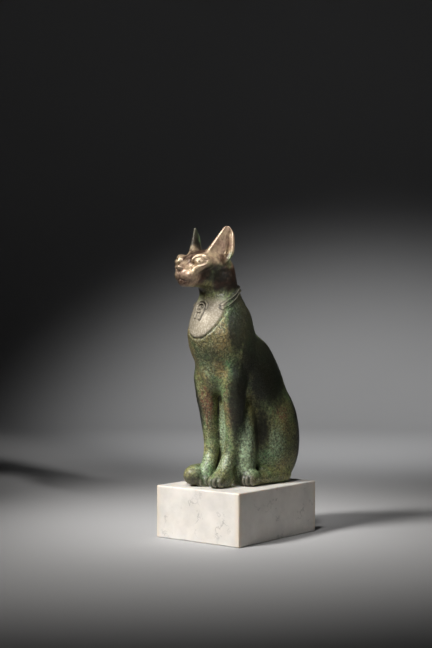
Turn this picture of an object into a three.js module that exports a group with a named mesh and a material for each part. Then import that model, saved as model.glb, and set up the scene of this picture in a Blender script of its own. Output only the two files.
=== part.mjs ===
// Seated bronze cat on a white marble block.
// Millimetres, +Z up. The cat faces -Y and its left side is +X.
// The origin is the centre of the block's underside.

import * as THREE from "three";
import { ConvexGeometry } from "three/addons/geometries/ConvexGeometry.js";

// Driving sizes
const PLINTH_WIDTH = 80;
const PLINTH_DEPTH = 100;
const PLINTH_HEIGHT = 40;
const PLINTH_CHAMFER = 0.8;
const CAT_HEIGHT = 198;
const SEAT_GAP = 0.3;

// Fineness of the casting's faceted skin
const CAT_TRIANGLES = 9300;
const BODY_STEP = 1.6;
const BREAST_STEP = 1.0;
const HEAD_STEP = 0.8;

// The figure's form keeps its proportions as shares of the cat's height:
// every table below is in figure units, 198 of them from the seat to the ear tips.
const FIGURE_UNITS = 198;
const UNIT = CAT_HEIGHT / FIGURE_UNITS;

// Trunk: height, front, back, half width, squareness, drawing in towards the front
const TRUNK = [
  [0, 4, 39, 20, 2.8, 0],
  [20, 1, 47.5, 25, 3.0, 0.05],
  [42, -5, 50, 27, 3.0, 0.15],
  [60, -12, 48.5, 27, 2.9, 0.3],
  [74, -24, 45, 26, 2.6, 0.32],
  [88, -37, 39.5, 25, 2.5, 0.22],
  [102, -45.5, 30.3, 24, 2.4, 0.08],
  [108, -48, 24.8, 23.4, 2.3, 0.03],
  [112, -49, 18.3, 22.8, 2.2, 0],
  [116, -49.5, 11, 22.2, 2.2, 0],
  [123, -48.5, 7, 21, 2.1, 0],
  [131, -46, 5.2, 19.6, 2.0, 0],
  [140, -41.5, 0.6, 16.6, 2.0, 0],
  [146, -39, -4.0, 14.8, 2.0, 0],
  [160, -40, -11.5, 14.2, 2.0, 0],
  [176, -44, -17, 13.5, 2.0, 0],
];

// Foreleg: height, side, centre, half width, half depth
const FORELEG = [
  [0, 8.6, -30, 5.8, 8.0],
  [10, 8.6, -28, 5.8, 7.2],
  [20, 8.9, -22.8, 5.7, 6.0],
  [27, 9.5, -20.4, 5.6, 5.6],
  [38, 11.0, -18.8, 6.0, 6.2],
  [54, 12.2, -19.5, 7.2, 7.4],
  [68, 12.6, -20.8, 9.0, 9.2],
  [84, 12.2, -22.5, 9.6, 10.4],
];

// Head: distance along Y, top, underside, half width, squareness
const HEAD = [
  [-66, 168.6, 154.5, 5.6, 2.1],
  [-61, 172.2, 152.6, 8.6, 2.1],
  [-55, 175.6, 151.6, 12.8, 2.2],
  [-47, 178.8, 151.4, 15.4, 2.3],
  [-38, 180.2, 150.0, 16.4, 2.3],
  [-28, 178.8, 148.0, 15.4, 2.2],
  [-20, 174.5, 146.0, 12.6, 2.2],
];

// Cheekbone, under which the jaw draws in: distance along Y, height
const CHEEKBONE = [
  [-66, 160],
  [-60, 164],
  [-54, 168],
  [-46, 170],
  [-34, 169],
];
const JAW_PINCH = 0.26;

// Tail, from the rump round the right flank to the right forepaw: x, y, z, radius
const TAIL = [
  [0, 42, 14, 9],
  [-20, 40, 8, 7.8],
  [-29.5, 20, 7, 7],
  [-28.5, -4, 7, 6.8],
  [-22.5, -24.5, 7.6, 7.2],
  [-13.6, -37.6, 8.0, 7.5],
];
const TAIL_JOINTS = 20;

// Ear, a dished leaf open outwards, told from the foot of its rear rim
const EAR_FOOT = [18.2, -28.1, 180];
const EAR_ACROSS = [0.391, 0.92];
const EAR_HEIGHT = 18.6;
const EAR_FRONT = -21;
const EAR_LEAN = 0.76;
const EAR_RIM = 2.2;
const EAR_CREVICE = 1.3;

// Ear: height, rear edge, thickness of the leaf
const EAR = [
  [-12, -7.8, 6.0],
  [-9.7, -5.0, 5.8],
  [-5.3, -0.9, 5.2],
  [0, 1.0, 4.4],
  [5.3, 1.3, 3.2],
  [11.6, 0.6, 2.4],
  [14.7, -1.1, 2.2],
  [17.3, -3.4, 2.0],
  [19, -7, 1.8],
];

// Eyes: centre, direction towards the outer corner, and outward normal
const EYE = [10.4, -59.0, 169.3];
const EYE_ALONG = [0.727, 0.656, 0.202];
const EYE_OUT = [0.62, -0.7, 0.36];
const EYE_LENGTH = 4.9;
const EYE_HEIGHT = 2.7;

// Brow line from the tear duct over the eye: along and above the eye's centre
const BROW = [
  [-7.4, -4.0],
  [-6.7, -1.4],
  [-6.0, 1.6],
  [-4.4, 4.2],
  [-1.6, 5.6],
  [1.6, 5.7],
  [4.6, 4.6],
  [7.4, 2.8],
];

// Neck cord, two strands over the shoulders and round the nape: distance along Y, height
const CORD = [
  [-37, 136.4],
  [-28.3, 141.6],
  [-21.7, 145.6],
  [-16.3, 149.6],
  [-6, 153],
];
const CORD_SPREAD = 1.6;

// Collar bib, and the middle of its eye pendant in X and Z
const BIB_WIDTH = 15.4;
const BIB_DROP = 21.2;
const BIB_TOP = 134;
const PENDANT = [-0.9, 136.2];

// Pendant: line over the eye, drop below its front and bar below its back
const PENDANT_BROW = [
  [-3.4, 3.8],
  [-1.0, 5.2],
  [2.4, 5.0],
  [5.0, 2.6],
  [5.4, -0.6],
];
const PENDANT_DROP = [
  [-2.6, -4.2],
  [-2.9, -7.4],
];
const PENDANT_BAR = [
  [3.4, -2.8],
  [2.0, -8.4],
];

const { abs, cos, sin, hypot, max, min, sqrt, PI } = Math;

/** Value held between two limits. */
function clamp(value, low, high) {
  return min(max(value, low), high);
}

/** Rise from 0 to 1 with level ends. */
function ease(value) {
  const t = clamp(value, 0, 1);
  return t * t * (3 - 2 * t);
}

/** Union of two forms with a fillet of reach k. */
function join(a, b, k) {
  const h = clamp(0.5 + (0.5 * (b - a)) / k, 0, 1);
  return b + (a - b) * h - k * h * (1 - h);
}

/** Common part of two forms with an edge rounded over k. */
function meet(a, b, k) {
  return -join(-a, -b, k);
}

/** Smooth curve through the points that never overshoots them. */
function curve(points, column = 1) {
  const xs = points.map((point) => point[0]);
  const ys = points.map((point) => point[column]);
  const last = xs.length - 1;
  const gaps = xs.slice(1).map((x, i) => x - xs[i]);
  const rises = gaps.map((gap, i) => (ys[i + 1] - ys[i]) / gap);
  const slopes = xs.map((_, i) => {
    if (i === 0) return rises[0];
    if (i === last) return rises[last - 1];
    const before = rises[i - 1];
    const after = rises[i];
    if (before * after <= 0) return 0;
    const near = 2 * gaps[i] + gaps[i - 1];
    const far = gaps[i] + 2 * gaps[i - 1];
    return (near + far) / (near / before + far / after);
  });
  return (value) => {
    const x = clamp(value, xs[0], xs[last]);
    let i = 0;
    while (i < last - 1 && x > xs[i + 1]) i += 1;
    const s = (x - xs[i]) / gaps[i];
    const r = 1 - s;
    const level = ys[i] * (1 + 2 * s) * r * r + ys[i + 1] * s * s * (3 - 2 * s);
    return level + gaps[i] * s * r * (slopes[i] * r - slopes[i + 1] * s);
  };
}

/** One curve for each column after the first. */
function loft(rows) {
  return rows[0].slice(1).map((_, i) => curve(rows, i + 1));
}

/** Distance from a rounded section with half sizes a, b and squareness n. */
function section(u, v, a, b, n) {
  const q = ((abs(u) / a) ** n + (abs(v) / b) ** n) ** (1 / n) + 1e-6;
  return hypot(u, v) * (1 - 1 / q);
}

/** Turned ellipsoid; a squareness above 2 makes it boxier. */
function egg(at, radii, { pitch = 0, yaw = 0, square = 2 } = {}) {
  const [ca, sa] = [cos((yaw * PI) / 180), sin((yaw * PI) / 180)];
  const [cb, sb] = [cos((pitch * PI) / 180), sin((pitch * PI) / 180)];
  const [rx, ry, rz] = radii;
  return (px, py, pz) => {
    const x0 = px - at[0];
    const y0 = py - at[1];
    const z0 = pz - at[2];
    const x = ca * x0 + sa * y0;
    const y1 = ca * y0 - sa * x0;
    const y = cb * y1 + sb * z0;
    const z = cb * z0 - sb * y1;
    if (square !== 2) {
      const q = ((abs(x) / rx) ** square + (abs(y) / ry) ** square + (abs(z) / rz) ** square) ** (1 / square);
      return hypot(x, y, z) * (1 - 1 / (q + 1e-6));
    }
    const far = hypot(x / rx, y / ry, z / rz);
    const slope = hypot(x / (rx * rx), y / (ry * ry), z / (rz * rz));
    return (far * (far - 1)) / (slope + 1e-6);
  };
}

/** Tapered rod with round ends from a to b. */
function limb(a, b, startRadius, endRadius) {
  const along = [b[0] - a[0], b[1] - a[1], b[2] - a[2]];
  const square = along[0] ** 2 + along[1] ** 2 + along[2] ** 2;
  return (px, py, pz) => {
    const x = px - a[0];
    const y = py - a[1];
    const z = pz - a[2];
    const t = clamp((x * along[0] + y * along[1] + z * along[2]) / square, 0, 1);
    const radius = startRadius + (endRadius - startRadius) * t;
    return hypot(x - t * along[0], y - t * along[1], z - t * along[2]) - radius;
  };
}

/** Point on the smooth path through the rows, t running from 0 to 1. */
function bend(rows, t) {
  const spans = rows.length - 1;
  const i = min(Math.floor(t * spans), spans - 1);
  const s = t * spans - i;
  const [a, b, c, d] = [-1, 0, 1, 2].map((k) => rows[clamp(i + k, 0, spans)]);
  return b.map((_, n) => {
    const bow = (2 * a[n] - 5 * b[n] + 4 * c[n] - d[n]) * s * s;
    const twist = (3 * b[n] - a[n] - 3 * c[n] + d[n]) * s ** 3;
    return 0.5 * (2 * b[n] + (c[n] - a[n]) * s + bow + twist);
  });
}

/** Product of two directions, as a length. */
function dot(a, b) {
  return a[0] * b[0] + a[1] * b[1] + a[2] * b[2];
}

/** Direction square to two others. */
function square([ax, ay, az], [bx, by, bz]) {
  const across = [ay * bz - az * by, az * bx - ax * bz, ax * by - ay * bx];
  return across.map((n) => n / hypot(...across));
}

const EYE_ABOVE = square(EYE_OUT, EYE_ALONG);
const [trunkFront, trunkBack, trunkWide, trunkSquare, trunkDraw] = loft(TRUNK);
const [legSide, legCentre, legWide, legDeep] = loft(FORELEG);
const [headTop, headUnder, headWide, headSquare] = loft(HEAD);
const cheekbone = curve(CHEEKBONE);
const [earRear, earThick] = loft(EAR);
const cordHeight = curve(CORD);

/** Haunches, belly, chest and neck in one sweep. */
function trunk(x, y, z) {
  const middle = (trunkFront(z) + trunkBack(z)) / 2;
  const deep = trunkBack(z) - middle;
  const wide = trunkWide(z) * (1 - trunkDraw(z) * ease((middle - y) / deep));
  const side = section(x, y - middle, wide, deep, trunkSquare(z));
  return meet(side, meet(z - 172, -z - 4, 4), 8);
}

/** Shoulder blade, upper arm, breast between the arms, and web between the forelegs. */
const blade = egg([12.2, -17, 119], [9.5, 15.5, 19], { pitch: -10 });
const arm = egg([14.0, -18.5, 92], [7.8, 12.5, 24], { pitch: -4 });
const breast = egg([0, -22.5, 95], [13, 17.5, 24]);
const web = egg([0, -10.5, 40], [11, 7.2, 44], { pitch: 4, square: 5 });

/** Foreleg from the breast to the ankle, without its paw, and the web beside it. */
function foreleg(x, y, z) {
  const side = section(x - legSide(z), y - legCentre(z), legWide(z), legDeep(z), 2.2);
  return join(meet(side, z - 92, 14), web(x, y, z), 1.5);
}

/** Forms joined in turn with one fillet. */
function cluster(forms, k) {
  return (x, y, z) => forms.reduce((d, form) => join(d, form(x, y, z), k), 1e3);
}

/** Toes side by side, the outer two set back. */
function toes(centre, front, setBack, pitch, height, radii) {
  return [0, 1, 2, 3].map((i) => {
    const back = i % 3 === 0 ? setBack : 0;
    return egg([centre + (i - 1.5) * pitch, front + back, height], radii);
  });
}

/** Forepaw with its toes' middles on the line Y = front. */
function forepaw(centre, front) {
  const foot = egg([centre, front + 8.8, 6.8], [6.8, 12.0, 6.8], { pitch: 10 });
  return cluster([foot, ...toes(centre, front, 2.6, 3.1, 4.5, [2.1, 4.6, 4.2])], 1.0);
}

const leftForepaw = forepaw(8.6, -39.2);
const rightForepaw = forepaw(-8.0, -35.0);

const hindpaw = cluster([
  egg([20.4, -8.5, 5.8], [6.6, 8.8, 6.8]),
  ...toes(20.6, -14.4, 2.2, 2.9, 4.7, [2.0, 4.2, 4.6]),
], 1.0);

const haunch = egg([14.5, 26, 34], [19, 24.2, 36], { pitch: 4, square: 2.2 });
const knee = egg([13, -8.3, 29], [10, 10, 37]);
const hindfoot = limb([25, 27, 5.2], [20, -6, 5.0], 5.6, 5.4);

/** Knee, foot and paw of one hind leg. */
function hindleg(x, y, z) {
  return join(join(knee(x, y, z), hindfoot(x, y, z), 3), hindpaw(x, y, z), 1.5);
}

const tailRods = Array.from({ length: TAIL_JOINTS }, (_, i) => {
  const a = bend(TAIL, i / TAIL_JOINTS);
  const b = bend(TAIL, (i + 1) / TAIL_JOINTS);
  return limb(a, b, a[3], b[3]);
});

/** Tail laid round the right flank. */
function tail(x, y, z) {
  return tailRods.reduce((d, rod) => min(d, rod(x, y, z)), 1e3);
}

/** Left ear: a dished leaf with a rolled rear rim and a crevice in front of it. */
function ear(x, y, z) {
  const [across, out] = EAR_ACROSS;
  const dx = x - EAR_FOOT[0];
  const dy = y - EAR_FOOT[1];
  const h = z - EAR_FOOT[2];
  const w = across * dx + out * dy;
  const v = out * dx - across * dy;
  const rear = earRear(h);
  const thick = earThick(h);
  const front = EAR_FRONT + EAR_LEAN * max(h, -3);
  const share = (w - front) / max(rear - front, 1.5);
  const dish = 0.28 * thick * clamp(1 - (2 * share - 1) ** 2, -1, 1);
  let leaf = meet(abs(v + dish + thick / 2) - thick / 2, 0.85 * meet(front - w, w - rear, 3), 1.6);
  const rim = EAR_RIM * (0.2 + 0.8 * ease((18.5 - h) / 11));
  leaf = join(leaf, hypot(w - rear + rim, v + 0.5 * rim) - rim, 0.8);
  const fold = abs(w - rear + 2.7 * rim) - EAR_CREVICE * (0.5 + 0.5 * ease((13 - h) / 9));
  const cut = meet(meet(fold, -v - dish - thick + 1.4, 0.8), meet(h - 13.5, -9 - h, 1), 0.8);
  leaf = meet(leaf, -cut, 0.7);
  return meet(leaf, meet(h - EAR_HEIGHT, -h - 11, 1), 2.0);
}

const cheek = egg([9.8, -56, 167.6], [4.8, 8.5, 3.2], { pitch: 26, yaw: -28 });
const muzzle = egg([0, -60.5, 160.3], [7.4, 9.6, 7.8], { pitch: -4 });
const bridge = limb([0, -56, 172.0], [0, -68.4, 166.0], 3.6, 2.1);
const whiskerPad = egg([3.2, -64.6, 160.2], [4.0, 5.0, 4.6], { yaw: -12 });
const chin = egg([0, -63.6, 154.6], [4.4, 5.0, 3.0], { pitch: 6 });
const nose = egg([0, -69.6, 165.2], [3.1, 2.9, 1.9], { pitch: -25 });
const socket = egg([6.2, -63.6, 168.6], [2.0, 6.0, 2.6], { pitch: 22, yaw: -30 });
const brow = egg([9.0, -56.6, 172.4], [3.8, 6.8, 3.6], { pitch: 12, yaw: -36 });
const bridgeSide = limb([4.6, -56.5, 173.2], [2.9, -67.6, 165.6], 0, 0);

/** Skull, muzzle and brows, before the face's finer carving. */
function head(x, y, z) {
  const m = abs(x);
  const top = headTop(y);
  const under = headUnder(y);
  const pinch = 1 - JAW_PINCH * ease((cheekbone(y) - z) / 6) * ease((-y - 26) / 12);
  const skull = section(x / pinch, z - (top + under) / 2, headWide(y), (top - under) / 2, headSquare(y));
  let d = meet(skull, meet(y + 19.6, -y - 64, 2), 7);
  d = join(d, cheek(m, y, z), 4);
  d = join(d, muzzle(x, y, z), 4);
  d = join(d, bridge(x, y, z), 2.5);
  d = join(d, whiskerPad(m, y, z), 3);
  d = join(d, chin(x, y, z), 2.6);
  d = join(d, nose(x, y, z), 1);
  d = meet(d, -socket(m, y, z), 2.5);
  return join(d, brow(m, y, z), 3) - face(m, y, z);
}

/** Round bump of height 1 over a width each side of zero. */
function bump(distance, width) {
  return ease(1 - abs(distance) / width);
}

/** Flat distance from a line through the points. */
function stroke(u, v, points) {
  return points.slice(1).reduce((nearest, b, i) => {
    const a = points[i];
    const du = b[0] - a[0];
    const dv = b[1] - a[1];
    const t = clamp(((u - a[0]) * du + (v - a[1]) * dv) / (du * du + dv * dv), 0, 1);
    return min(nearest, hypot(u - a[0] - t * du, v - a[1] - t * dv));
  }, 1e3);
}

/** Height of one eye's ball, lids and brow line over the plain head. */
function eye(m, y, z) {
  if (m < 2.4 || y > -46 || z < 160) return 0;
  const place = [m - EYE[0], y - EYE[1], z - EYE[2]];
  const along = dot(place, EYE_ALONG);
  const above = dot(place, EYE_ABOVE);
  const near = ease((12 - abs(along)) / 3) * ease((11 - abs(above)) / 3) * ease((m - 2.4) / 2);
  const lid = above - 0.35 + 0.02 * along * abs(along);
  const half = EYE_HEIGHT * sqrt(clamp(1.15 - (along / 6.4) ** 2, 0.05, 1));
  const reach = hypot(along / EYE_LENGTH, lid / half);
  const ends = ease((6.4 - abs(along)) / 1.2) * (0.3 + 0.7 * ease((lid + 1) / 2));
  const ball = 1.2 * ease((1 - reach) / 0.7);
  const lids = 0.5 * bump((reach - 1.38) * 3.2, 1.1) - 0.4 * bump((reach - 1.06) * 3.2, 1);
  const line = 0.65 * bump(stroke(along, above, BROW), 1.3);
  return near * (ball + ends * lids + line - 0.5 * bump(hypot(along + 0.2, lid) - 1.2, 0.8));
}

/** Height of the eyes, nostrils and mouth over the plain head, for either side. */
function face(m, y, z) {
  if (y > -46) return 0;
  const front = ease((-62 - y) / 3);
  const mouth = 0.5 * bump(z - (156.9 - 0.3 * m), 1) * ease((7 - m) / 4);
  const lip = 0.5 * bump(m, 1) * ease(z - 156.2) * ease(164.6 - z);
  const nostril = 0.6 * bump(hypot((m - 1.7) / 1.2, z - 164.6), 1) * ease(-68.5 - y);
  const groove = 0.3 * bump(bridgeSide(m, y, z), 1.3);
  return eye(m, y, z) - front * (mouth + lip) - nostril - groove;
}

/** Height of the eye pendant: rim, iris, brow, drop and bar. */
function pendant(x, z) {
  const u = x - PENDANT[0];
  const v = z - PENDANT[1];
  const rim = bump(hypot(u / 1.1, v) - 3.2, 1);
  const iris = bump(hypot(u + 0.6, v), 1.9);
  const over = bump(stroke(u, v, PENDANT_BROW), 1.1);
  const drop = 1.1 * bump(stroke(u, v, PENDANT_DROP), 1.3);
  const bar = 1.1 * bump(stroke(u, v, PENDANT_BAR), 1.4);
  return max(rim, iris, over, drop, bar);
}

/** Height of the collar over the plain breast and neck: bib, pendant and cord. */
function collar(x, y, z) {
  if (z < 110 || z > 158) return 0;
  const reach = hypot(x / BIB_WIDTH, max(BIB_TOP - z, 0) / BIB_DROP);
  const rim = (reach - 1) * BIB_WIDTH;
  const bib = 0.5 * ease(-rim / 1.2) - 0.75 * bump(rim, 1.2) + 0.15 * bump(rim - 1.6, 1.3);
  const front = ease((-y - 26) / 6);
  const swing = z - cordHeight(y);
  const cord = 1.3 * bump(abs(swing) - CORD_SPREAD, 1.8) * ease((y + 38) / 2);
  const knot = abs(x) > 6 ? 1.2 * bump(hypot((y + 36.2) / 1.3, swing + 0.6), 2.4) : 0;
  return front * (bib * ease((147 - z) / 4) + pendant(x, z)) + max(cord, knot);
}

/** The whole casting: negative inside, zero on its skin. */
function cat(x, y, z) {
  const m = abs(x);
  let d = join(trunk(x, y, z), head(x, y, z), 6);
  d = join(d, join(join(blade(m, y, z), arm(m, y, z), 7), breast(x, y, z), 5), 5);
  d -= collar(x, y, z);
  d = join(d, haunch(m, y, z), 9);
  d = join(d, hindleg(m, y, z), 6);
  const forepaws = join(leftForepaw(x, y, z), rightForepaw(x, y, z), 1);
  d = join(d, join(foreleg(m, y, z), forepaws, 2), 4);
  d = join(d, tail(x, y, z), 1.2);
  d = join(d, ear(m, y, z), 2.5);
  return meet(d, -z, 0.8);
}

// Spacing and middle of the lattice at each height
const latticeStep = curve([[80, BODY_STEP], [114, BREAST_STEP], [150, HEAD_STEP]]);
const latticeMiddle = curve([[85, 3], [100, -8], [116, -18], [150, -39]]);

/** Lattice round the cat, drawn in and made finer towards the head. */
function lattice() {
  const [nx, ny] = [54, 90];
  const levels = [];
  for (let z = -1.7; z < EAR_FOOT[2] + EAR_HEIGHT + 3; z += latticeStep(z)) levels.push(z);
  const at = (i, j, k) => {
    const z = levels[k];
    const step = latticeStep(z);
    return [(i - nx / 2 + 0.5) * step, latticeMiddle(z) + (j - ny / 2) * step, z];
  };
  return { nx, ny, nz: levels.length, at };
}

/** Fill lattice points where two parts of the form would touch only along an edge. */
function closeCorners(depth, [nx, ny, nz]) {
  const steps = [1, nx, nx * ny];
  const end = depth.length - steps[2] - steps[1] - 1;
  for (let changed = true; changed; ) {
    changed = false;
    for (let here = 0; here < end; here += 1) {
      for (let axis = 0; axis < 3; axis += 1) {
        const u = steps[axis];
        const v = steps[(axis + 1) % 3];
        const [a, b, c, d] = [here, here + u, here + u + v, here + v].map((n) => depth[n] < 0);
        if (a !== c || b !== d || a === b) continue;
        const gaps = a ? [here + u, here + v] : [here, here + u + v];
        for (const gap of gaps) depth[gap] = -0.05;
        changed = true;
      }
    }
  }
}

/** Closed skin of a form: one point in each cell it crosses, one face across each edge it cuts. */
function skin(form) {
  const { nx, ny, nz, at } = lattice();
  const index = (i, j, k) => i + nx * (j + ny * k);
  const depth = new Float64Array(nx * ny * nz);
  for (let k = 0; k < nz; k += 1) {
    for (let j = 0; j < ny; j += 1) {
      for (let i = 0; i < nx; i += 1) depth[index(i, j, k)] = form(...at(i, j, k));
    }
  }
  closeCorners(depth, [nx, ny, nz]);
  const corners = Array.from({ length: 8 }, (_, n) => [n & 1, (n >> 1) & 1, n >> 2]);
  const edges = corners.flatMap((_, a) => [1, 2, 4].filter((bit) => !(a & bit)).map((bit) => [a, a | bit]));
  const points = [];
  const pointOf = new Map();
  for (let k = 0; k < nz - 1; k += 1) {
    for (let j = 0; j < ny - 1; j += 1) {
      for (let i = 0; i < nx - 1; i += 1) {
        const values = corners.map(([a, b, c]) => depth[index(i + a, j + b, k + c)]);
        if (values.every((d) => d < 0) || values.every((d) => d >= 0)) continue;
        const sum = [0, 0, 0];
        let cuts = 0;
        for (const [a, b] of edges) {
          if (values[a] < 0 === values[b] < 0) continue;
          const t = values[a] / (values[a] - values[b]);
          const start = at(i + corners[a][0], j + corners[a][1], k + corners[a][2]);
          const end = at(i + corners[b][0], j + corners[b][1], k + corners[b][2]);
          for (let n = 0; n < 3; n += 1) sum[n] += start[n] + t * (end[n] - start[n]);
          cuts += 1;
        }
        pointOf.set(index(i, j, k), points.length);
        points.push(sum.map((s) => s / cuts));
      }
    }
  }
  const steps = [1, nx, nx * ny];
  const faces = [];
  for (let k = 1; k < nz - 1; k += 1) {
    for (let j = 1; j < ny - 1; j += 1) {
      for (let i = 1; i < nx - 1; i += 1) {
        const here = index(i, j, k);
        for (let axis = 0; axis < 3; axis += 1) {
          const inside = depth[here] < 0;
          if (inside === depth[here + steps[axis]] < 0) continue;
          const u = steps[(axis + 1) % 3];
          const v = steps[(axis + 2) % 3];
          const ring = [here - u - v, here - v, here, here - u].map((cell) => pointOf.get(cell));
          const [a, b, c, d] = inside ? ring : ring.reverse();
          faces.push([a, b, c], [a, c, d]);
        }
      }
    }
  }
  return { points, faces };
}

/** Squared distance to a plane as the ten numbers of a symmetric form. */
function planeForm([a, b, c], d, weight) {
  return [a * a, a * b, a * c, a * d, b * b, b * c, b * d, c * c, c * d, d * d].map((n) => n * weight);
}

/** Value of the form at a point. */
function misfit(q, [x, y, z]) {
  const first = x * (q[0] * x + 2 * (q[1] * y + q[2] * z + q[3]));
  return first + y * (q[4] * y + 2 * (q[5] * z + q[6])) + z * (q[7] * z + 2 * q[8]) + q[9];
}

/** Point where the form is least, or nothing when it is too flat to tell. */
function lowest(q) {
  const m = new THREE.Matrix3().set(q[0], q[1], q[2], q[1], q[4], q[5], q[2], q[5], q[7]);
  if (abs(m.determinant()) < 1e-4) return null;
  return new THREE.Vector3(-q[3], -q[6], -q[8]).applyMatrix3(m.invert()).toArray();
}

/** Smallest-first queue of rows whose first entry is the cost. */
class Queue {
  rows = [];

  push(row) {
    const { rows } = this;
    let i = rows.push(row) - 1;
    while (i > 0) {
      const up = (i - 1) >> 1;
      if (rows[up][0] <= rows[i][0]) break;
      [rows[up], rows[i]] = [rows[i], rows[up]];
      i = up;
    }
  }

  pop() {
    const { rows } = this;
    const best = rows[0];
    const tail = rows.pop();
    if (rows.length === 0) return best;
    rows[0] = tail;
    for (let i = 0; ; ) {
      let next = 2 * i + 1;
      if (next >= rows.length) break;
      if (next + 1 < rows.length && rows[next + 1][0] < rows[next][0]) next += 1;
      if (rows[i][0] <= rows[next][0]) break;
      [rows[i], rows[next]] = [rows[next], rows[i]];
      i = next;
    }
    return best;
  }
}

/** Flat normal of a face, its length twice the area. */
function facing(a, b, c) {
  const [ux, uy, uz] = [b[0] - a[0], b[1] - a[1], b[2] - a[2]];
  const [vx, vy, vz] = [c[0] - a[0], c[1] - a[1], c[2] - a[2]];
  return [uy * vz - uz * vy, uz * vx - ux * vz, ux * vy - uy * vx];
}

/** The same closed skin in fewer faces: the edges that matter least are closed up first. */
function thin({ points, faces }, wanted) {
  const forms = points.map(() => new Array(10).fill(0));
  const around = points.map(() => new Set());
  faces.forEach((face, f) => {
    const normal = facing(...face.map((p) => points[p]));
    const size = hypot(...normal) || 1e-9;
    const unit = normal.map((n) => n / size);
    const [x, y, z] = points[face[0]];
    const form = planeForm(unit, -(unit[0] * x + unit[1] * y + unit[2] * z), size);
    for (const p of face) {
      around[p].add(f);
      forms[p] = forms[p].map((n, i) => n + form[i]);
    }
  });
  const turns = new Int32Array(points.length);
  const queue = new Queue();
  const neighbours = (p) => new Set([...around[p]].flatMap((f) => faces[f]).filter((n) => n !== p));
  const offer = (a, b) => {
    const form = forms[a].map((n, i) => n + forms[b][i]);
    const middle = points[a].map((n, i) => (n + points[b][i]) / 2);
    const best = lowest(form);
    const span = hypot(...points[a].map((n, i) => n - points[b][i]));
    const near = best && hypot(...best.map((n, i) => n - middle[i])) < span;
    const place = near ? best : middle;
    queue.push([misfit(form, place) + 1e-5 * span * span, a, b, turns[a], turns[b], place]);
  };
  const keeps = (p, other, place) => [...around[p]].every((f) => {
    if (faces[f].includes(other)) return true;
    const before = facing(...faces[f].map((n) => points[n]));
    const after = facing(...faces[f].map((n) => (n === p ? place : points[n])));
    return dot(before, after) > 0.3 * hypot(...before) * hypot(...after);
  });
  points.forEach((_, p) => neighbours(p).forEach((n) => p < n && offer(p, n)));
  let left = faces.length;
  while (left > wanted && queue.rows.length) {
    const [, a, b, turnA, turnB, place] = queue.pop();
    if (turns[a] !== turnA || turns[b] !== turnB) continue;
    const ring = neighbours(b);
    if ([...neighbours(a)].filter((n) => ring.has(n)).length !== 2) continue;
    if (!keeps(a, b, place) || !keeps(b, a, place)) continue;
    points[a] = place;
    forms[a] = forms[a].map((n, i) => n + forms[b][i]);
    for (const f of around[b]) {
      if (faces[f].includes(a)) {
        faces[f].forEach((p) => around[p].delete(f));
        faces[f] = null;
        left -= 1;
      } else {
        faces[f] = faces[f].map((p) => (p === b ? a : p));
        around[a].add(f);
      }
    }
    turns[a] += 1;
    turns[b] = -1;
    neighbours(a).forEach((n) => offer(a, n));
  }
  return { points, faces: faces.filter(Boolean) };
}

/** Geometry of a skin, in millimetres, standing at the given height. */
function solid({ points, faces }, floor) {
  const geometry = new THREE.BufferGeometry();
  const used = [...new Set(faces.flat())];
  const order = new Map(used.map((p, i) => [p, i]));
  const places = used.flatMap((p) => [points[p][0] * UNIT, points[p][1] * UNIT, points[p][2] * UNIT + floor]);
  geometry.setAttribute("position", new THREE.Float32BufferAttribute(places, 3));
  geometry.setIndex(faces.flat().map((p) => order.get(p)));
  geometry.computeVertexNormals();
  return geometry;
}

/** Marble block with softened edges. */
function plinth() {
  const half = [PLINTH_WIDTH / 2, PLINTH_DEPTH / 2, PLINTH_HEIGHT / 2];
  const signs = [-1, 1];
  const corners = [];
  for (let full = 0; full < 3; full += 1) {
    const size = half.map((h, i) => (i === full ? h : h - PLINTH_CHAMFER));
    for (const a of signs) {
      for (const b of signs) {
        for (const c of signs) {
          corners.push(new THREE.Vector3(a * size[0], b * size[1], c * size[2] + half[2]));
        }
      }
    }
  }
  return new ConvexGeometry(corners);
}

/** Mesh with its own name and finish. */
function piece(name, geometry, finish) {
  const mesh = new THREE.Mesh(geometry, new THREE.MeshStandardMaterial({ name: `${name}_finish`, ...finish }));
  mesh.name = name;
  return mesh;
}

const figure = new THREE.Group();
figure.name = "seated_cat_figure";
figure.add(
  piece("bronze_cat", solid(thin(skin(cat), CAT_TRIANGLES), PLINTH_HEIGHT + SEAT_GAP), {
    color: 0x4f5238,
    metalness: 0.6,
    roughness: 0.5,
  }),
  piece("marble_plinth", plinth(), { color: 0xe6e2da, metalness: 0, roughness: 0.55 }),
);

export default figure;
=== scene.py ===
"""Seated bronze cat on a white marble block.

Forms are told in millimetres, the cat's own from the top of the block up, and turn to
metres when a mesh is made. The cat faces -Y and its left side is +X.
"""

import logging
import math
from collections.abc import Callable, Sequence
from dataclasses import dataclass, fields
from enum import Enum

import bpy
import numpy as np
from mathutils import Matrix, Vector, noise


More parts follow.
